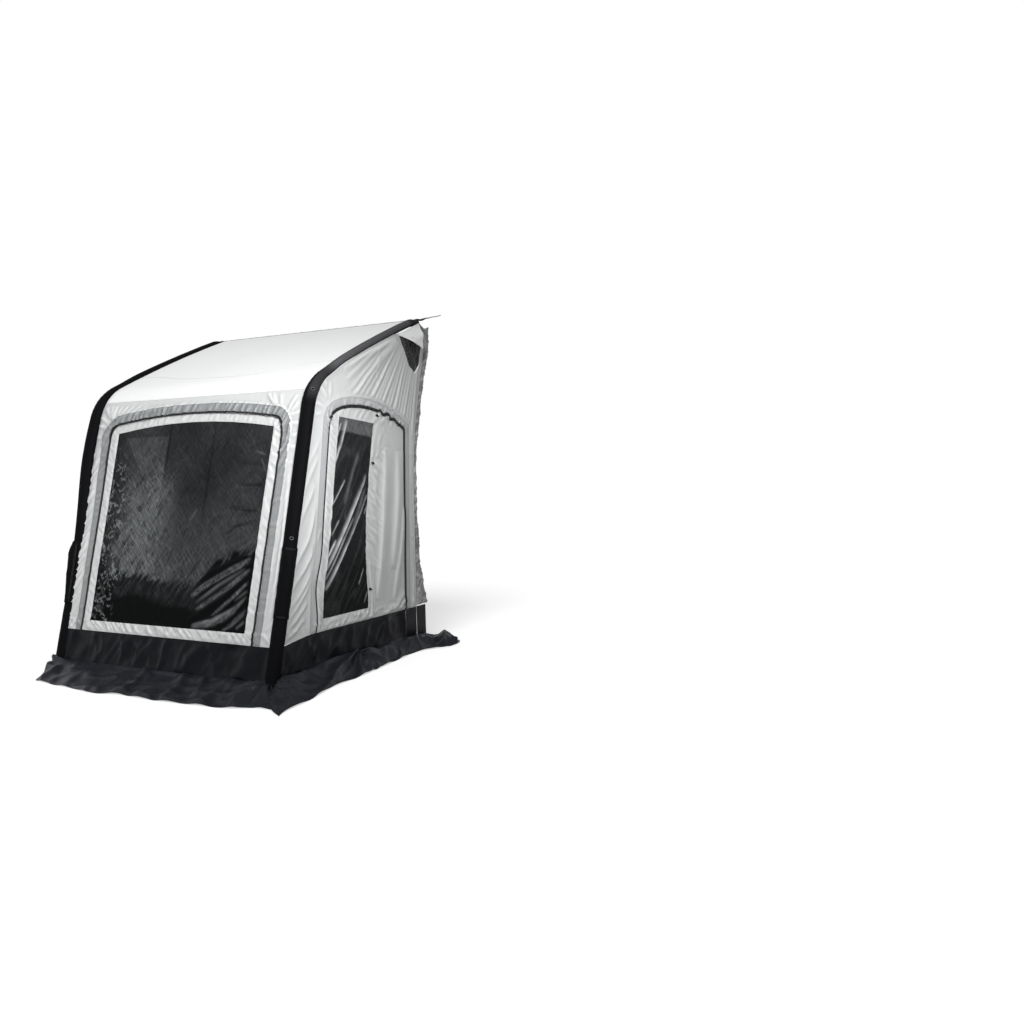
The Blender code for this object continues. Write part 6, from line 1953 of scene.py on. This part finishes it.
class AWNING_OT_fittings(AwningPiece, bpy.types.Operator):
    """Finishes the moulded and metal parts, and makes the pegging loops and toggles"""

    bl_idname = "awning.fittings"
    bl_label = "Fittings"

    def make(self, sizes, walls):
        for node, obj in NODES.items():
            if SLOT_OF[node] in ("black_plastic", "dark_metal", "bladder_film"):
                obj.data.materials.clear()
                obj.data.materials.append(finish(SLOT_OF[node]))
        for side, sign in SIDES.items():
            self.peg_loop(side)
            for level in ("lower", "upper"):
                self.eyelet(side, sign, level)
            for i, (y, z) in enumerate(TOGGLE_PLACES):
                self.toggle(side, sign, i, y, z, walls)

    def eyelet(self, side, sign, level):
        """Ring eyelet on the wider sleeve, over a dark washer."""
        node = "sleeve_eyelet_" + level + "_" + side
        low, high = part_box(node)
        middle = (low + high) / 2
        line = RoundedLine(beam_corners()[0])
        s = float(np.interp(middle.z, line.points[:, 1], line.s)) - 0.018 * (level == "upper")
        (y, ahead_y), (z, ahead_z) = line.at(np.array([s, s + 0.004]))
        axis = Vector((0.0, ahead_y - y, ahead_z - z)).normalized()
        face = Vector((sign, 0.0, 0.0)).cross(axis) * sign
        turn = math.radians(47.0)
        lean = Vector((sign * math.cos(turn) * SLEEVE_SPREAD, 0.0, 0.0)) - face * math.sin(turn) * 1.02
        if lean.y > 0.0:
            lean = Vector((lean.x, -lean.y, -lean.z))
        share = float(bow_share(side, z))
        middle = Vector((sign * (BEAM_X + BOW_OUT * share), y, z)) - face * BOW_AHEAD * share
        place = middle + lean * (BEAM_RADIUS + 0.001)
        normal = lean.normalized()
        across = axis.cross(normal).normalized()
        spin = np.linspace(0.0, 2.0 * np.pi, 33)
        ring = [tuple(place + (axis * math.cos(a) + across * math.sin(a)) * 0.0098) for a in spin]
        made = tube(node + "_ring", ring, 0.0024, 10, reference=tuple(normal))
        wear(made, node)
        depth = [tuple(place - normal * 0.003), tuple(place)]
        wear(tube(node + "_washer", depth, 0.0085, 20, reference=tuple(axis)), node, "sleeve_cloth")
        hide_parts(node)

    def peg_loop(self, side):
        """Webbing loop at a beam's foot, with rounded edges."""
        node = "peg_loop_" + side
        bm = merged(NODES[node].data)
        dissolve_flat(bm, 0.02)
        mesh = mesh_from(bm, "peg_loop_webbing_" + side)
        co = numbers_of(mesh)
        write_cut_map(mesh, co[:, 0], co[:, 1])
        write_no_hem(mesh)
        loop = link(mesh.name, mesh)
        edge = loop.modifiers.new("edge", "BEVEL")
        edge.width = 0.0008
        edge.segments = 2
        wear(loop, node)
        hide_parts(node)

    def toggle(self, side, sign, index, y, z, walls):
        """Small toggle with its loop, which holds the rolled door."""
        lift = float(walls.side_height(np.array([y]), np.array([z]))[0]) + 0.004
        x = sign * (walls.side[side].plane + lift)
        turn = np.linspace(0.0, 2.0 * np.pi, 25)
        points = np.stack([np.full(25, x), y + 0.012 * np.cos(turn), z + 0.009 * np.sin(turn)], 1)
        loop = tube("toggle_loop_%d_%s" % (index, side), points, 0.0016, 6)
        run = np.linspace(-1.0, 1.0, len(TOGGLE_RADII))
        bar = np.stack([np.full(len(run), x + sign * 0.003), y + 0.016 * run, z - 0.007 * run], 1)
        peg = tube("toggle_bar_%d_%s" % (index, side), bar, TOGGLE_RADII, 10)
        for piece in (loop, peg):
            wear(piece, "vent_tie_" + side, body="door_" + side)


# Stage


class AWNING_OT_stage(bpy.types.Operator):
    """Makes the floor, the lamps and the camera"""

    bl_idname = "awning.stage"
    bl_label = "Studio"

    def execute(self, context):
        self.floor()
        self.world(context.scene)
        self.lamp("sun_lamp", "SUN", (1.9, -5.6, 7.0), 1.75, math.radians(24.0))
        self.lamp("near_lamp", "SPOT", (4.5, -2.5, 2.7), 1170.0, 0.6, aim=(1.0, -0.85, 1.80))
        self.camera(context.scene)
        context.scene.view_settings.view_transform = "Standard"
        return {"FINISHED"}

    def floor(self):
        """Large floor that keeps the shadow, and looks white to the camera."""
        bm = bmesh.new()
        bmesh.ops.create_grid(bm, x_segments=1, y_segments=1, size=60.0)
        bmesh.ops.translate(bm, verts=bm.verts[:], vec=(0.0, 0.0, -0.0005))
        mesh = mesh_from(bm, "floor")
        floor = link("floor", mesh)
        made, tree, shader = new_finish("floor_paint")
        shader.inputs["Roughness"].default_value = 0.9
        shader.inputs["Specular IOR Level"].default_value = 0.0
        glow = put(tree, "Emission", {"Color": (1.0, 1.0, 1.0, 1.0), "Strength": 2.1})
        seen = self.seen(tree)
        paint = mixed(tree, seen, (0.45, 0.45, 0.45, 1.0), (0.97, 0.97, 0.97, 1.0))
        tree.links.new(paint, shader.inputs["Base Color"])
        share = maths(tree, "MULTIPLY", seen, 0.25)
        blend = put(tree, "MixShader", {0: share, 1: shader.outputs[0], 2: glow.outputs[0]})
        tree.links.new(blend.outputs[0], tree.nodes["Material Output"].inputs["Surface"])
        mesh.materials.append(made)

    def seen(self, tree):
        """1 for rays from the camera, off a mirror or through glass, which see a white backdrop."""
        path = put(tree, "LightPath")
        seen = maths(tree, "MAXIMUM", path.outputs["Is Camera Ray"], path.outputs["Is Glossy Ray"])
        return maths(tree, "MAXIMUM", seen, path.outputs["Is Transmission Ray"])

    def world(self, scene):
        world = bpy.data.worlds.new("studio")
        scene.world = world
        world.use_nodes = True
        tree = world.node_tree
        backdrop = tree.nodes["Background"]
        dim = 0.30
        strength = maths(tree, "ADD", dim, maths(tree, "MULTIPLY", self.seen(tree), 1.0 - dim))
        backdrop.inputs["Color"].default_value = (1.0, 1.0, 1.0, 1.0)
        tree.links.new(strength, backdrop.inputs["Strength"])

    def lamp(self, name, kind, place, energy, size, aim=(0.0, 0.0, 1.1)):
        data = bpy.data.lights.new(name, kind)
        data.energy = energy
        if kind == "SUN":
            data.angle = size
        else:
            data.shadow_soft_size = size
            data.spot_size = math.radians(40.0)
            data.spot_blend = 1.0
        lamp = bpy.data.objects.new(name, data)
        bpy.context.scene.collection.objects.link(lamp)
        ahead = Vector(aim) - Vector(place)
        lamp.matrix_world = Matrix.Translation(place) @ ahead.to_track_quat("-Z", "Y").to_matrix().to_4x4()

    def camera(self, scene):
        data = bpy.data.cameras.new("camera")
        data.sensor_width = 36.0
        data.lens = 36.0 * CAMERA_FOCAL_SHARE
        camera = bpy.data.objects.new("camera", data)
        scene.collection.objects.link(camera)
        yaw, pitch, roll = CAMERA_YAW, CAMERA_PITCH, CAMERA_ROLL
        ahead = Vector((math.sin(yaw) * math.cos(pitch), math.cos(yaw) * math.cos(pitch), math.sin(pitch)))
        right = Vector((math.cos(yaw), -math.sin(yaw), 0.0))
        up = right.cross(ahead)
        rolled_right = right * math.cos(roll) + up * math.sin(roll)
        rolled_up = up * math.cos(roll) - right * math.sin(roll)
        turn = Matrix((rolled_right, rolled_up, -ahead)).transposed().to_4x4()
        camera.matrix_world = Matrix.Translation(CAMERA_PLACE) @ turn
        scene.camera = camera


MAKERS = (
    AWNING_OT_roof, AWNING_OT_front, AWNING_OT_sides, AWNING_OT_vents, AWNING_OT_beams, AWNING_OT_covers,
    AWNING_OT_rear_pads, AWNING_OT_skirts, AWNING_OT_trims, AWNING_OT_fittings, AWNING_OT_stage,
)


class AWNING_PT_panel(bpy.types.Panel):
    """Lists the awning's sizes, colours and makers"""

    bl_label = "Porch Awning"
    bl_idname = "AWNING_PT_panel"
    bl_space_type = "VIEW_3D"
    bl_region_type = "UI"
    bl_category = "Awning"

    def draw(self, context):
        for settings in (context.scene.awning_sizes, context.scene.awning_colours):
            for name in settings.bl_rna.properties.keys():
                if name not in ("rna_type", "name"):
                    self.layout.prop(settings, name)
        for maker in MAKERS:
            self.layout.operator(maker.bl_idname)


CLASSES = (AwningSizes, AwningColours, *MAKERS, AWNING_PT_panel)


def register():
    for each in CLASSES:
        bpy.utils.register_class(each)
    bpy.types.Scene.awning_sizes = bpy.props.PointerProperty(type=AwningSizes)
    bpy.types.Scene.awning_colours = bpy.props.PointerProperty(type=AwningColours)


def unregister():
    del bpy.types.Scene.awning_colours
    del bpy.types.Scene.awning_sizes
    for each in reversed(CLASSES):
        bpy.utils.unregister_class(each)


def main():
    register()
    for maker in MAKERS:
        area, name = maker.bl_idname.split(".")
        getattr(getattr(bpy.ops, area), name)()


if __name__ == "__main__":
    main()
